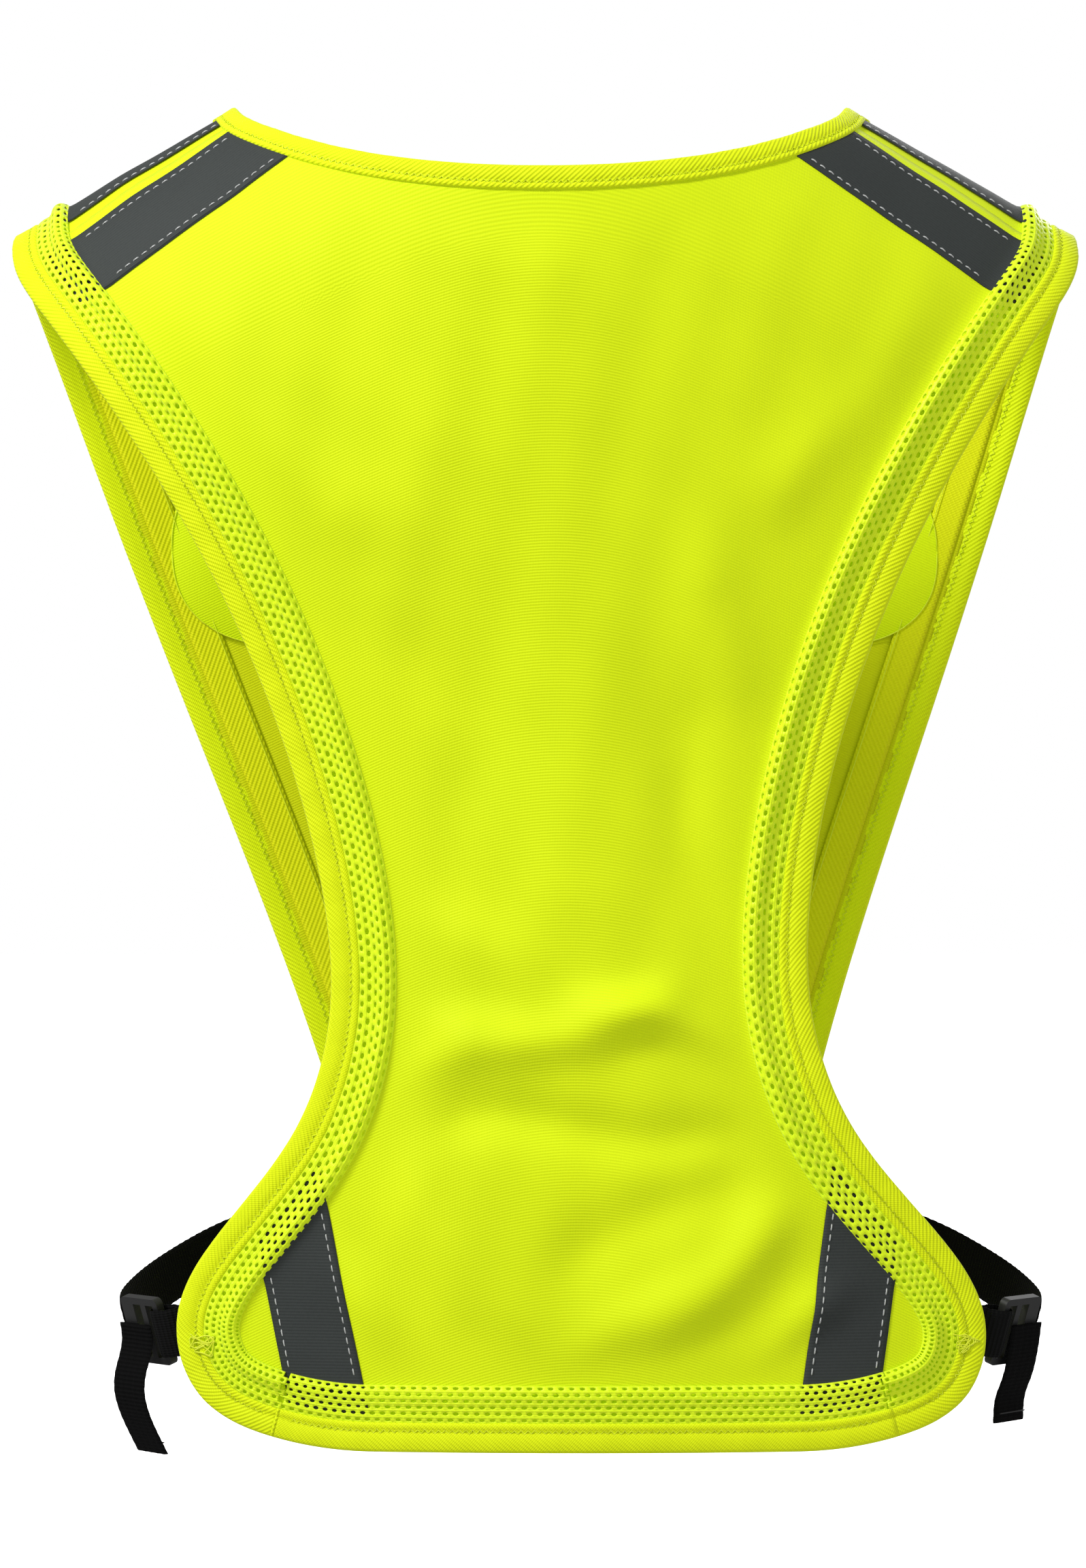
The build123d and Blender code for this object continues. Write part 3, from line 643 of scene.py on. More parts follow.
# A seam on a binding: its distance from the edge and its lift on the outside.
BINDING_SEAM = (7.7, 1.65)
NECK_SEAM = (6.4, 1.6)
SEAM_BEHIND = -0.75
SEAM_THREAD = 0.21
PUCKERS = 0.12
ROUTE_STEP = 2.4
TUBE_SIDES = 6
TUBE_TAPER = 0.35
ZIGZAG_PITCH = 2.6
ZIGZAG_SWING = 0.75
ZIGZAG_WOBBLE = 0.18
ZIGZAG_CLEAR = 6.0


def sweep(name, route, sign, face, material):
    """A closed strip swept along a route: face holds inward distances and lifts."""
    points, inward, length = lay_route(route, ROUTE_STEP, sign)
    face = np.array(face + face[:1], float)
    pucker = 1 + PUCKERS * np.sin(length * 1.9) * np.sin(length * 0.37 + 1.3)
    base = points[:, None] + inward[:, None] * face[None, :, :1]
    surface = on_cloth(base, face[None, :, 1] * pucker[:, None])
    return closed_strip(name, surface, uv_grid(length[:, None], lengths(face)[None]), material)


def tube(points, radius):
    """Points and faces of a thin round thread along a line, in mm."""
    points = np.asarray(points, float)
    way = unit(np.gradient(points, axis=0))
    first = unit(np.cross(way, np.where(np.abs(way[:, :1]) < 0.8, [[1.0, 0, 0]], [[0, 1.0, 0]])))
    second = np.cross(way, first)
    angle = np.arange(TUBE_SIDES) / TUBE_SIDES * 2 * np.pi
    ring = np.cos(angle)[None, :, None] * first[:, None] + np.sin(angle)[None, :, None] * second[:, None]
    taper = np.ones(len(points))
    taper[[0, -1]] = TUBE_TAPER
    rings = points[:, None] + ring * (radius * taper)[:, None, None]
    faces = grid_faces(len(points), TUBE_SIDES, closed=True)
    faces.append(tuple(reversed(range(TUBE_SIDES))))
    faces.append(tuple(range((len(points) - 1) * TUBE_SIDES, len(points) * TUBE_SIDES)))
    return rings.reshape(-1, 3), faces


def threads(name, lines, radius, material, body="vest", slot="binding"):
    """One piece made of many short or long threads."""
    all_points, all_faces, count = [], [], 0
    for line in lines:
        points, faces = tube(line, radius)
        all_points.append(points)
        all_faces += [tuple(index + count for index in face) for face in faces]
        count += len(points)
    piece = piece_from(name, np.concatenate(all_points), all_faces, None, material)
    settle(piece, slot, body=body)


def zigzag(route, sign, inset_by, lift):
    """A zigzag line of stitching beside an edge."""
    points, inward, length = lay_route(route, ZIGZAG_PITCH / 2, sign)
    keep = (length > ZIGZAG_CLEAR) & (length < length[-1] - ZIGZAG_CLEAR)
    count = int(keep.sum())
    turns = np.where(np.arange(count) % 2, 1.0, -1.0) * ZIGZAG_SWING
    wobble = np.array([random.uniform(-ZIGZAG_WOBBLE, ZIGZAG_WOBBLE) for _ in range(count)])
    return on_cloth(points[keep] + inward[keep] * (inset_by + turns + wobble)[:, None], lift)


# ---- open mesh
MESH_FACE = [(10.9, 1.1), (12.2, 1.5), (14.5, 1.65), (16.6, 1.7), (17.6, 2.2), (18.7, 3.2), (20.1, 4.0),
             (21.6, 4.1), (23.0, 3.4), (24.2, 2.2), (24.9, 0.9)]
HEM_MESH_FACE = [(10.9, 0.9), (12.2, 1.3), (15.0, 1.5), (18.0, 1.9), (20.5, 2.5), (22.6, 2.4), (24.2, 1.7),
                 (24.9, 0.8)]
CELL = 3.9
CELL_ROWS = 6
HOLE = 0.28
CELL_RING = [(0, 0), (2, 0), (4, 0), (4, 1), (4, 2), (2, 2), (0, 2), (0, 1)]
MESH_THREAD = 0.6
HOLE_SPREAD = (0.9, 1.08)
PROFILE_POINTS = 60


def net(name, route, sign, face):
    """Knitted mesh with real holes beside an edge, and its width, length and area."""
    points, inward, length = lay_route(route, ROUTE_STEP, sign)
    face = smooth(face, PROFILE_POINTS)
    columns = int(length[-1] / CELL) - 1
    lattice, places, faces = {}, [], []
    for row in range(CELL_ROWS):
        for column in range(columns):
            corner = 4 * column + 2 * (row % 2)
            outer = []
            for along, across in CELL_RING:
                key = (corner + along, 2 * row + across)
                if key not in lattice:
                    lattice[key] = len(places)
                    places.append((key[0] / 4, key[1] / 2))
                outer.append(lattice[key])
            first = len(places)
            size = HOLE * random.uniform(*HOLE_SPREAD)
            for along, across in CELL_RING:
                way = np.array([along / 4 - 0.5, across / 2 - 0.5])
                way *= size / np.hypot(*way)
                places.append((corner / 4 + 0.5 + way[0], row + 0.5 + way[1]))
            for step in range(len(CELL_RING)):
                after = (step + 1) % len(CELL_RING)
                faces.append((outer[step], outer[after], first + after, first + step))
    places = np.array(places)
    along = np.clip(places[:, 0] / (columns + 0.5), 0, 1) * length[-1]
    across = places[:, 1] / CELL_ROWS * (len(face) - 1)
    depth = np.interp(across, np.arange(len(face)), face[:, 0])
    lift = np.interp(across, np.arange(len(face)), face[:, 1])
    lift = lift * (1 + 0.10 * np.sin(along * 0.083) * np.sin(along * 0.031 + 2.0))
    centre = np.stack([np.interp(along, length, points[:, axis]) for axis in range(3)], axis=1)
    way = np.stack([np.interp(along, length, inward[:, axis]) for axis in range(3)], axis=1)
    surface = on_cloth(centre + unit(way) * depth[:, None], lift)
    uvs = uv_grid(along, depth)
    piece = piece_from(name, surface, faces, uvs, MESH_CLOTH)
    close = piece.modifiers.new("thickness", "SOLIDIFY")
    close.thickness = MESH_THREAD * MM
    close.offset = 0
    width = float(lengths(face)[-1])
    solid_share = 1 - np.pi * HOLE * HOLE
    return piece, width, float(length[-1]), width * float(length[-1]) * solid_share * MM * MM


# ---- routes of the edge strips
outer_edge = edge_route()
edge_heights = skin(outer_edge[:, 0], outer_edge[:, 1])[:, 2]
low_back = (outer_edge[:, 1] < -2) & (outer_edge[:, 0] < BACK_HEM_JOIN) & (edge_heights < HEM_JOIN_HEIGHT)
low_front = (outer_edge[:, 1] > 2) & (outer_edge[:, 0] < FRONT_HEM_JOIN)
BACK_JOIN_AT = int(np.nonzero(low_back)[0][-1])
FRONT_JOIN_AT = int(np.nonzero(low_front)[0][0])
LAP = 3


def mirrored_route(route, sign):
    return route * [sign, 1.0]


side_route = outer_edge[BACK_JOIN_AT - LAP:FRONT_JOIN_AT + 1]
half_hem = outer_edge[:BACK_JOIN_AT]
back_hem_route = np.concatenate([mirrored_route(half_hem[::-1], -1), half_hem[1:]])
front_hem_route = outer_edge[FRONT_JOIN_AT:]
rear_neck = as_turns(back_neck, BACK)
rear_neck = rear_neck[rear_neck[:, 1] < 0]
fore_neck = as_turns(front_neck[front_neck[:, 0] > ZIP_GAP], FRONT)
half_neck = np.concatenate([fore_neck[::-1], rear_neck])
neck_route = np.concatenate([mirrored_route(half_neck, -1), half_neck[::-1][1:]])


def bind_edge(edge, end, route, sign, face, seam, replaced):
    """Binding folded round an edge, with a zigzag seam on the outside and the inside."""
    settle(sweep(f"{edge}_binding{end}", route, sign, face, BINDING_CLOTH), "binding", replaced)
    lines = [zigzag(route, sign, seam[0], lift) for lift in (seam[1], SEAM_BEHIND)]
    threads(f"{edge}_stitch{end}", lines, SEAM_THREAD, THREAD)


def mesh_edge(edge, end, route, sign, face, replaced):
    """The mesh band beside a binding."""
    band, width, length, area = net(f"{edge}_mesh{end}", route, sign, face)
    settle(band, "mesh", replaced)


def make_edges():
    for side, sign in SIDES:
        end, cloth = f"_{side}", f"front_cloth_{side}"
        route = mirrored_route(side_route, sign)
        bind_edge("edge", end, route, -sign, BINDING_FACE, BINDING_SEAM, f"side_binding_{side}")
        mesh_edge("edge", end, route, -sign, MESH_FACE, f"mesh_band_{side}")
        route = mirrored_route(front_hem_route, sign)
        bind_edge("front_hem", end, route, -sign, BINDING_FACE, BINDING_SEAM, f"hem_binding_front_{side}")
        mesh_edge("front_hem", end, route, -sign, HEM_MESH_FACE, f"hem_mesh_front_{side}")
    bind_edge("back_hem", "", back_hem_route, -1, BINDING_FACE, BINDING_SEAM, "hem_binding_back")
    mesh_edge("back_hem", "", back_hem_route, -1, HEM_MESH_FACE, "hem_mesh_back")
    bind_edge("collar", "", neck_route, 1, NECK_FACE, NECK_SEAM, "neck_binding")


# ---- reflective tapes
TAPE_LIFT = 0.56
TAPE_THICK = 0.4
TAPE_SEAM = 2.8
TAPE_ROWS, TAPE_COLUMNS, TAPE_POINTS = 60, 16, 40
TAPE_SEAM_ROWS = (1, 13)
SEEN_WIDTH = 24.0
SHOULDER_REACH = (80.0, 200.0)
NECK_TAPE_GAP = 4.0
CROWN_TAPE_START = 123.0
BEHIND_CROWN = -0.02
STITCH_PITCH = 4.0
STITCH_LENGTH = 3.1
STITCH_ARCH = np.array([0.1, 0.48, 0.58, 0.48, 0.1])


def tape_piece(name, x, turn, replaced, outward):
    points = dressed(x, turn, TAPE_LIFT)
    across, down = lengths(points[len(points) // 2]), lengths(points[:, points.shape[1] // 2])
    piece = cloth_grid(name, points, uv_grid(across[None], down[:, None]), TAPE_CLOTH, TAPE_THICK, outward)
    settle(piece, "reflective_tape", replaced)


def running_stitch(x, turn):
    """Separate stitches, each a small arch, along a line on the cloth."""
    length = lengths(dressed(x, turn, TAPE_LIFT))
    lines = []
    for start in np.arange(1.0, length[-1] - STITCH_LENGTH, STITCH_PITCH):
        spots = start + np.linspace(0, STITCH_LENGTH, len(STITCH_ARCH))
        spot_x, spot_turn = np.interp(spots, length, x), np.interp(spots, length, turn)
        lines.append(dressed(spot_x, spot_turn, TAPE_LIFT + STITCH_ARCH))
    return lines


def sloped_tape(name, corners, sign, side, replaced):
    """A tape from top to bottom: its corners are top inner, top outer, bottom outer, bottom inner."""
    (top_in, top), (top_out, _), (low_out, low), (low_in, _) = corners
    heights = np.linspace(top, low, TAPE_ROWS)
    share = (heights - top) / (low - top)
    near, far = top_in + share * (low_in - top_in), top_out + share * (low_out - top_out)
    limit = width_at(heights, UNDER_TAPE, side)
    keep = (limit > near + 1.0) & (heights > HEM + UNDER_TAPE)
    heights, near, far, limit = heights[keep], near[keep], far[keep], limit[keep]
    right = np.minimum(far, limit)
    x = sign * (near[:, None] + np.linspace(0, 1, TAPE_COLUMNS)[None] * (right - near)[:, None])
    turn = turn_at(x, heights[:, None] + 0 * x, side)
    tape_piece(name, x, turn, replaced, sign * -side)
    lines = []
    for line_x in (near + TAPE_SEAM, far - TAPE_SEAM):
        seen = line_x < width_at(heights, SEEN_WIDTH, side)
        if seen.sum() > 3:
            line_turn = turn_at(sign * line_x[seen], heights[seen], side)
            lines += running_stitch(sign * line_x[seen], line_turn)
    return lines


def back_shoulder_tape(side, sign):
    """The tape down the back of a shoulder."""
    (x0, z0), (x1, z1), (_, z2), (_, z3) = BACK_SHOULDER_TAPE
    spread = np.linspace(*SHOULDER_REACH, 1201)
    neck_z = np.interp(spread, back_neck[::-1, 0], back_neck[::-1, 1])
    rows = []
    for part in np.linspace(0, 1, TAPE_COLUMNS):
        begin = z0 + part * (z3 - z0)
        slope = (z1 + part * (z2 - z1) - begin) / (x1 - x0)
        line_z = begin + slope * (spread - x0)
        clear = (line_z < neck_z - NECK_TAPE_GAP) | (spread > back_neck[0, 0])
        stop = spread[np.argmax(spread > width_at(line_z, UNDER_TAPE, BACK))]
        row_x = np.linspace(spread[np.argmax(clear)], stop, TAPE_POINTS)
        rows.append((row_x, begin + slope * (row_x - x0)))
    x, height = np.array(rows).transpose(1, 0, 2)
    x = sign * x
    turn = np.minimum(turn_at(x, height, BACK), BEHIND_CROWN)
    tape_piece(f"back_shoulder_tape_{side}", x, turn, f"shoulder_tape_back_{side}", sign)
    lines = []
    for row in TAPE_SEAM_ROWS:
        lines += running_stitch((x[row] + x[row + 1])[3:-6] / 2, (turn[row] + turn[row + 1])[3:-6] / 2)
    return lines


def front_shoulder_tape(side, sign):
    """The tape over the crown of a shoulder."""
    x = np.linspace(CROWN_TAPE_START, EDGE - UNDER_TAPE, TAPE_POINTS)
    rear = crown_turn(x, SHOULDER_TAPE_REAR, False)
    fore = crown_turn(x, SHOULDER_TAPE_AHEAD, True)
    turn = rear[None] + np.linspace(0, 1, TAPE_COLUMNS)[:, None] * (fore - rear)[None]
    x = sign * np.broadcast_to(x, turn.shape)
    tape_piece(f"front_shoulder_tape_{side}", x, turn, f"shoulder_tape_front_{side}",
               -sign)
    return [line for row in TAPE_SEAM_ROWS for line in running_stitch(x[row][1:-6], turn[row][1:-6])]


def make_tapes():
    for side, sign in SIDES:
        lines = sloped_tape(f"back_corner_tape_{side}", BACK_CORNER_TAPE, sign, BACK,
                            f"corner_tape_back_{side}")
        lines += sloped_tape(f"front_corner_tape_{side}", FRONT_CORNER_TAPE, sign, FRONT,
                             f"corner_tape_front_{side}")
        lines += back_shoulder_tape(side, sign) + front_shoulder_tape(side, sign)
        threads(f"tape_stitch_{side}", lines, 0.3, PALE_THREAD, slot="reflective_tape")


# ---- inside the front
FACING_START = 11.3
FACING_END = 24.0
FACING_DROP = -1.2
FACING_SEAM_DROP = -1.9
FACING_THICK = 0.5
POCKET_CENTRE = (109.0, -170.0)
POCKET_HALF = (46.5, 38.0)
POCKET_DEPTH = 5.6
POCKET_POWER = 0.82
POCKET_RINGS, POCKET_SPOKES = 18, 72
POCKET_FACES = (-1.1, -0.9)
POCKET_SEAM_DROP = -1.7


def make_inside():
    """The facing sewn inside each armhole edge of the front, and a pocket beside it."""
    route = outer_edge[outer_edge[:, 1] > 0.05]
    route = route[route[:, 0] > 90.0]
    for side, sign in SIDES:
        points, inward, length = lay_route(mirrored_route(route, sign), 4.0, -sign)
        across = np.linspace(FACING_START, FACING_END, 7)
        strip = on_cloth(points[:, None] + inward[:, None] * across[None, :, None], FACING_DROP)
        uvs = uv_grid(length[:, None], across[None])
        piece = cloth_grid(f"facing_{side}", strip, uvs, FACING_CLOTH, FACING_THICK, sign)
        settle(piece, "binding")
        line = on_cloth(points[2:-2] + inward[2:-2] * (FACING_END - 1.5), FACING_SEAM_DROP)
        threads(f"facing_stitch_{side}", [line], 0.2, THREAD)
        make_pocket(side, sign)


def make_pocket(side, sign):
    """A flat pocket that bulges a little, with a sewn rim."""
    angle = np.arange(POCKET_SPOKES) / POCKET_SPOKES * 2 * np.pi
    outline = np.stack([np.sign(wave) * np.abs(wave) ** POCKET_POWER * half
                        for wave, half in zip((np.cos(angle), np.sin(angle)), POCKET_HALF)], axis=1)
    share = np.sin(np.linspace(0.03, 1, POCKET_RINGS) * np.pi / 2)[:, None, None]
    flat = outline[None] * share
    waves = np.sin(flat[..., 0] * 0.09) * np.sin(flat[..., 1] * 0.07)
    puff = (1 - share[..., 0] ** 3.2) * (0.84 + 0.16 * waves)
    x = sign * (POCKET_CENTRE[0] + flat[..., 0])
    height = POCKET_CENTRE[1] + flat[..., 1]
    turn = turn_at(x, height, FRONT)
    sheets = [raised(x, turn, POCKET_FACES[0] - POCKET_DEPTH * puff), raised(x, turn, POCKET_FACES[1])]
    points = np.concatenate([sheet.reshape(-1, 3) for sheet in sheets])
    half = POCKET_RINGS * POCKET_SPOKES
    inner_faces = grid_faces(POCKET_RINGS, POCKET_SPOKES, closed=True) + [tuple(range(POCKET_SPOKES))]
    faces = inner_faces + [tuple(index + half for index in reversed(face)) for face in inner_faces]
    rim = half - POCKET_SPOKES
    for step in range(POCKET_SPOKES):
        after = (step + 1) % POCKET_SPOKES
        faces.append((rim + step, rim + after, half + rim + after, half + rim + step))
    uvs = np.concatenate([cloth_uvs(x, turn).reshape(-1, 2)] * 2)
    piece = close_seams(piece_from(f"pocket_{side}", points, faces, uvs, PANEL))
    settle(piece, "panel", f"inner_pocket_{side}")
    rim_x = x[-1] * 0.996
    seam = raised(rim_x, turn_at(rim_x, height[-1], FRONT), POCKET_SEAM_DROP)
    threads(f"pocket_stitch_{side}", [np.concatenate([seam, seam[:1]])], 0.25, THREAD)


# ---- side adjusters
STRAP_WIDTH = 20.0
STRAP_THICK = 1.5
STRAP_LEVEL = -474.3
STRAP_RISE_IN = 0.25
STRAP_RISE_AHEAD = 0.20
PIVOT = (160.0, -46.0)
STRAP_PATH = [(86.0, 71.0), (137.0, 62.0), (166.0, 26.0), (178.0, -8.0), (175.7, -27.4)]
TAB_PATH = [(134.0, -55.9), (147.0, -52.9)]
LOCK_DIRECTION = (-0.64, 0.77)
LOCK_THICK = 3.2
LOOP_CLEAR = 2.7
LOOP_THICK = 1.2
LOOP_TRIM = 1.0
LOOP_LOOSENESS = 0.9
EYE_LENGTH = 6.0
EYE_START = 9.6
TAIL_ALONG = 14.5
TAIL_START = LOCK_THICK / 2 + 0.3 + STRAP_THICK / 2
TAIL_PATHS = {
    "left": [(TAIL_START, 3), (TAIL_START + 1.0, -5), (13, -17), (14, -29), (10, -47)],
    "right": [(TAIL_START, 3), (TAIL_START + 1.5, -6), (5, -17), (3.5, -27), (6, -36)],
}


RIBBON_STEP = 1.2
RIBS = 5
TAIL_HEM_HALF = 8.6
TAIL_HEM_RISE = 4.0
TAIL_HEM_LIFT = 0.8
CORNER_TACKS = {"left": (-144.0, -478.0), "right": (146.0, -478.0)}
TACK_HALF = (6.0, 5.0)
TACK_TURNS = 26
TACK_LIFT = 2.4
STRAP_TACK = (-465.0, -445.0)
STRAP_TACK_DROP = -1.4


def rounded(points, rounds):
    """A polyline with its corners cut again and again until it is round."""
    points = np.asarray(points, float)
    for _ in range(rounds):
        near = points[:-1] * 0.75 + points[1:] * 0.25
        far = points[:-1] * 0.25 + points[1:] * 0.75
        middle = np.stack([near, far], axis=1).reshape(-1, points.shape[1])
        points = np.concatenate([points[:1], middle[1:-1], points[-1:]])
    return points


def ribbon(name, path, width_way, width, thickness, material):
    """A woven band: a flat section with lengthwise ribs and rounded edges."""
    path = even(path, max(12, int(lengths(path)[-1] / RIBBON_STEP)))
    way = unit(np.gradient(path, axis=0))
    broad = unit(np.broadcast_to(width_way, path.shape).astype(float))
    thin = unit(np.cross(way, broad))
    across = np.sin(np.linspace(-1, 1, 25) * np.pi / 2)
    half_thick = thickness / 2 * (0.86 + 0.10 * np.cos(across * np.pi * RIBS))
    half_thick = half_thick * np.sqrt(np.clip(1 - np.abs(across) ** 9, 0.06, 1))
    section = list(zip(across, half_thick)) + list(zip(across[::-1], -half_thick[::-1]))
    section = np.array(section + section[:1])
    length = lengths(path)
    waver = 1 + 0.012 * np.sin(length * 1.7)
    points = (path[:, None] + broad[:, None] * (section[None, :, :1] * width / 2 * waver[:, None, None])
              + thin[:, None] * section[None, :, 1:])
    uvs = uv_grid(section[None, :, 0] * width / 2, length[:, None])
    return closed_strip(name, points, uvs, material)


def strap_point(sign, x, y):
    height = STRAP_LEVEL - STRAP_RISE_IN * (x - PIVOT[0]) + STRAP_RISE_AHEAD * (y - PIVOT[1])
    return np.array([sign * x - LEAN * STRAP_LEVEL, y, height])


def make_strap(side, sign, width_way):
    path = rounded([strap_point(sign, *point) for point in STRAP_PATH], 4)
    strap = ribbon(f"elastic_strap_{side}", path, width_way, STRAP_WIDTH, STRAP_THICK, ELASTIC)
    settle(strap, "elastic", f"side_strap_{side}")


def make_loop(side, sign, pivot, width_way):
    """Webbing from the vest's corner, round the ladder lock's first bar and back."""
    tab = [strap_point(sign, *point) - pivot for point in TAB_PATH]
    tab_way = unit(tab[1])
    beside = np.cross(width_way, tab_way)
    tab_beside = np.cross(width_way, unit(tab[0] - tab[1]))
    half, radius = LOOP_THICK / 2, LOOP_CLEAR + LOOP_THICK / 2

    def leg(face):
        return [tab[0] + tab_beside * half * face, tab[1] + beside * half * face,
                tab_way * EYE_START + beside * half * face, tab_way * EYE_LENGTH + beside * radius * face]

    arc = [radius * (np.cos(angle) * beside - np.sin(angle) * tab_way) for angle in np.linspace(0, np.pi, 14)]
    path = rounded(leg(1) + arc + leg(-1)[::-1], 2) + pivot
    loop = ribbon(f"webbing_loop_{side}", path, width_way, STRAP_WIDTH - LOOP_TRIM,
                  LOOP_THICK * LOOP_LOOSENESS, WEBBING)
    settle(loop, "webbing", f"lock_loop_{side}")


def make_tail(side, sign, pivot, width_way):
    """The elastic's loose end, which hangs from the lock and tilts with it, and its sewn hem."""
    lock_end = strap_point(sign, PIVOT[0] - LOCK_DIRECTION[0], PIVOT[1] + LOCK_DIRECTION[1])
    lock_way = unit(lock_end - pivot)
    outwards = np.cross(width_way, lock_way) * -sign
    tail_width = unit(np.cross(outwards, [0.0, 0.0, 1.0]))
    upward = np.cross(tail_width, outwards)
    start = pivot + lock_way * TAIL_ALONG
    path = rounded([start + outwards * out + upward * up for out, up in TAIL_PATHS[side]], 4)
    tail = ribbon(f"elastic_tail_{side}", path, tail_width, STRAP_WIDTH, STRAP_THICK, ELASTIC)
    settle(tail, "elastic", f"strap_tail_{side}", body=f"lock_{side}")

    hem = np.array([path[-1] + tail_width * TAIL_HEM_HALF, path[-1] - tail_width * TAIL_HEM_HALF])
    face_out = unit(np.cross(path[-1] - path[-4], tail_width))
    for name, lift in (("outer", TAIL_HEM_LIFT), ("inner", -TAIL_HEM_LIFT)):
        line = even(hem, 24) + upward * TAIL_HEM_RISE + face_out * lift
        threads(f"tail_stitch_{name}_{side}", [line], 0.25, BLACK_THREAD, f"lock_{side}", "elastic")


def make_tacks(side, sign):
    """A bar tack of thread to and fro over the vest's corner, and a seam at the strap's front end."""
    spots = [[middle + random.uniform(-1, 1) * half for middle, half in zip(CORNER_TACKS[side], TACK_HALF)]
             for _ in range(TACK_TURNS)]
    x, height = even(rounded(spots, 2), TACK_TURNS * 8).T
    threads(f"corner_tack_{side}", [raised(x, turn_at(x, height, BACK), TACK_LIFT)], 0.28, THREAD)
    x = np.full(12, sign * STRAP_PATH[0][0])
    seam = raised(x, turn_at(x, np.linspace(*STRAP_TACK, 12), FRONT), STRAP_TACK_DROP)
    threads(f"strap_tack_{side}", [seam], 0.3, BLACK_THREAD)


def make_adjusters():
    for side, sign in SIDES:
        pivot = strap_point(sign, *PIVOT)
        width_way = unit(np.array([sign * STRAP_RISE_IN, -STRAP_RISE_AHEAD, 1.0]))
        make_strap(side, sign, width_way)
        make_loop(side, sign, pivot, width_way)
        make_tail(side, sign, pivot, width_way)
        make_tacks(side, sign)


# ---- zip
ZIP_TOP = -121.8
ZIP_END = -500.8
ZIP_DEPTH = 79.0
ZIP_RIPPLE = 0.12
ZIP_THICK = 0.45
TOOTH_PITCH = 2.2
TOOTH_OUTLINE = [(3.0, -0.62), (1.7, -0.62), (1.35, -0.42), (1.0, -0.66), (0.72, -0.4),
                 (0.72, 0.4), (1.0, 0.66), (1.35, 0.42), (1.7, 0.62), (3.0, 0.62)]
CHAIN_HALF_THICK = 1.05
CHAIN_TOP = ZIP_TOP - 1.7
CHAIN_ENDS = {"left": -498.0, "right": ZIP_END}
ZIP_TAPE_REACH = (3.05, 18.0)
TOOTH_ROUNDING = 0.16
ZIP_SEAM = 3.0
ZIP_SEAM_END = HEM + 26.0
ZIP_SEAM_LIFT = 0.15


def make_zip_cloth(side, sign):
    heights = np.linspace(ZIP_END, ZIP_TOP, 160)
    across = np.linspace(*ZIP_TAPE_REACH, 9)
    x = sign * across[None] - LEAN * heights[:, None]
    ripple = ZIP_RIPPLE * np.sin(heights * 0.31)[:, None] * np.linspace(0, 1, 9)[None]
    points = np.stack([x, ZIP_DEPTH + ripple, heights[:, None] + 0 * x], axis=-1)
    uvs = uv_grid(across[None], heights[:, None])
    piece = cloth_grid(f"zip_cloth_{side}", points, uvs, ZIP_CLOTH, ZIP_THICK, 0)
    settle(piece, "zip_tape", f"zip_tape_{side}")


def make_zip_teeth(side, sign):
    """A row of teeth; the right row sits half a pitch lower than the left."""
    centres = np.arange(CHAIN_TOP - 0.8, CHAIN_ENDS[side] + 0.8, -TOOTH_PITCH)
    centres = centres - (TOOTH_PITCH / 2 if sign > 0 else 0.0)
    points, faces = [], []
    size = len(TOOTH_OUTLINE)
    for centre in centres[centres > CHAIN_ENDS[side] + 0.7]:
        base = len(points)
        for depth in (-CHAIN_HALF_THICK, CHAIN_HALF_THICK):
            for out, up in TOOTH_OUTLINE:
                height = centre + up
                points.append((sign * out - LEAN * height, ZIP_DEPTH + depth, height))
        faces.append(tuple(base + index for index in range(size)))
        faces.append(tuple(base + size + index for index in reversed(range(size))))
        for index in range(size):
            after = (index + 1) % size
            faces.append((base + index, base + after, base + size + after, base + size + index))
    teeth = close_seams(piece_from(f"zip_teeth_{side}", points, faces, None, ZIP_PLASTIC, False))
    round_off = teeth.modifiers.new("edges", "BEVEL")
    round_off.width = TOOTH_ROUNDING * MM
    round_off.segments = 2
    settle(teeth, "zip_plastic", f"zip_chain_{side}")


def make_zip():
    for side, sign in SIDES:
        make_zip_cloth(side, sign)
        make_zip_teeth(side, sign)
        x = np.full(200, ZIP_GAP + ZIP_SEAM) * sign
        turn = turn_at(x, np.linspace(ZIP_TOP, ZIP_SEAM_END, 200), FRONT)
        threads(f"zip_seam_{side}", [dressed(x, turn, ZIP_SEAM_LIFT)], 0.24, THREAD)


def finish_cad_nodes():
    """Materials for the CAD nodes that show as they are."""
    finishes = {ENAMEL: ["zip_slider", "zip_pull"], PLASTIC: ["ladder_lock_left", "ladder_lock_right"],
                ZIP_PLASTIC: ["zip_box", "zip_pin", "zip_top_stop_left", "zip_top_stop_right"]}
    for material, names in finishes.items():
        for name in names:
            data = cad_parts[name].data
            data.materials.clear()
            data.materials.append(material)


make_back_cloth()
for side_name, way_out in SIDES:
    make_front_cloth(side_name, way_out)
make_edges()
make_tapes()
make_inside()
make_adjusters()
make_zip()
finish_cad_nodes()

# ---- camera, light and backdrop
CAMERA_PLACE = (0.001, -2.084, -0.264)
CAMERA_LENS = 121.8
FLOOR = -0.62
FLOOR_REACH = 9.0
WORLD_LIGHT = 0.51
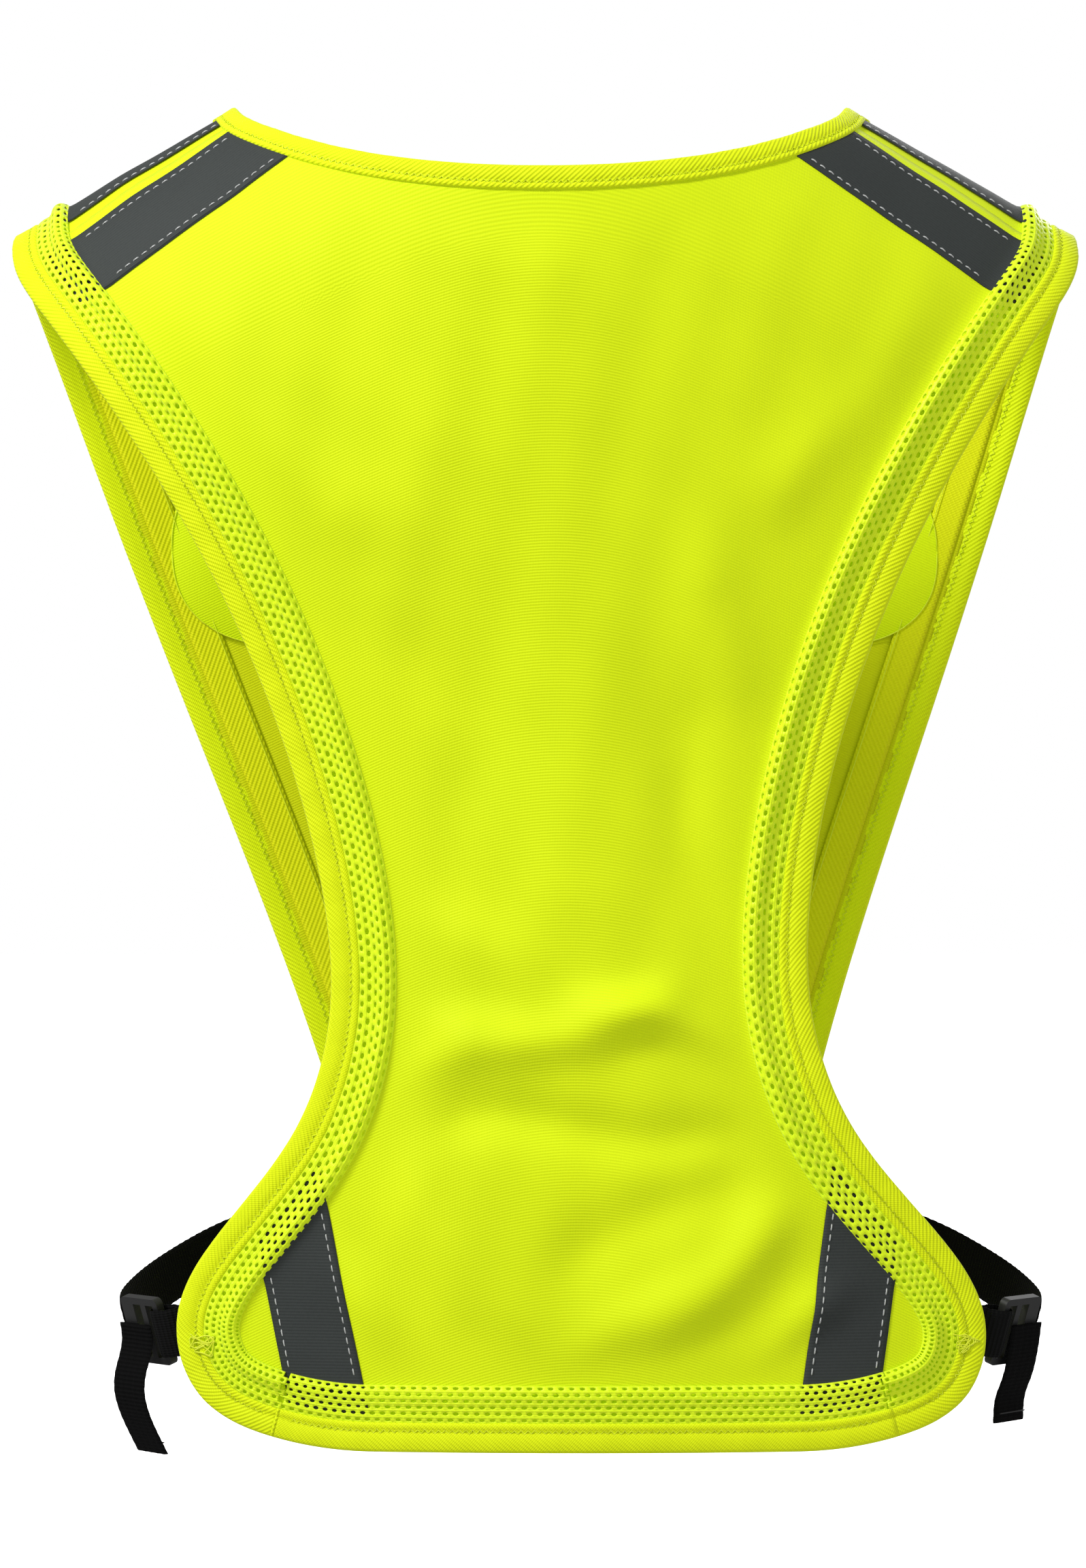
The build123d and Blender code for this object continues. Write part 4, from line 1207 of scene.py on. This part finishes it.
# Each light: name, place and aim in metres, size in metres, power in watts.
LIGHTS = [("key", (-1.5, -1.3, 1.5), (0.0, 0.0, -0.25), 0.7, 54.0),
          ("fill", (1.9, -1.7, 0.2), (0.0, 0.0, -0.3), 1.6, 2.5),
          ("front", (0.9, 2.2, 0.9), (0.0, 0.0, -0.3), 1.2, 14.0)]


def make_camera():
    data = bpy.data.cameras.new("camera")
    data.lens = CAMERA_LENS
    data.sensor_width = 36.0
    camera = bpy.data.objects.new("camera", data)
    camera.location = CAMERA_PLACE
    camera.rotation_euler = (math.pi / 2, 0.0, 0.0)
    bpy.context.scene.collection.objects.link(camera)
    bpy.context.scene.camera = camera


def make_light(name, place, aim, size, power):
    data = bpy.data.lights.new(name, "AREA")
    data.shape = "DISK"
    data.size = size
    data.energy = power
    light = bpy.data.objects.new(name, data)
    light.location = place
    light.rotation_euler = (Vector(aim) - Vector(place)).to_track_quat("-Z", "Y").to_euler()
    bpy.context.scene.collection.objects.link(light)


def make_floor():
    """A wide pale floor below the hanging vest; it sends no light back to the vest."""
    across = np.linspace(-FLOOR_REACH, FLOOR_REACH, 9)
    points = np.array([[(x, y, FLOOR) for x in across] for y in across]) / MM
    piece = piece_from("floor", points.reshape(-1, 3), grid_faces(9, 9), None, PAPER)
    piece.visible_diffuse = False
    piece.visible_glossy = False


def make_world():
    """White for the eye, and a softer even light on the vest."""
    world = bpy.data.worlds.new("studio")
    world.use_nodes = True
    tree = world.node_tree
    tree.nodes.clear()
    rays = add_node(tree, "LightPath", {})
    lighting, seen = [add_node(tree, "Background", {"Color": (1.0, 1.0, 1.0, 1.0), "Strength": strength})
                      for strength in (WORLD_LIGHT, 1.0)]
    mix = add_node(tree, "MixShader", {"Fac": rays.outputs["Is Camera Ray"],
                                       1: lighting.outputs["Background"], 2: seen.outputs["Background"]})
    add_node(tree, "OutputWorld", {"Surface": mix.outputs["Shader"]})
    bpy.context.scene.world = world


make_camera()
make_world()
make_floor()
for light_setting in LIGHTS:
    make_light(*light_setting)
bpy.context.scene.view_settings.view_transform = "Standard"
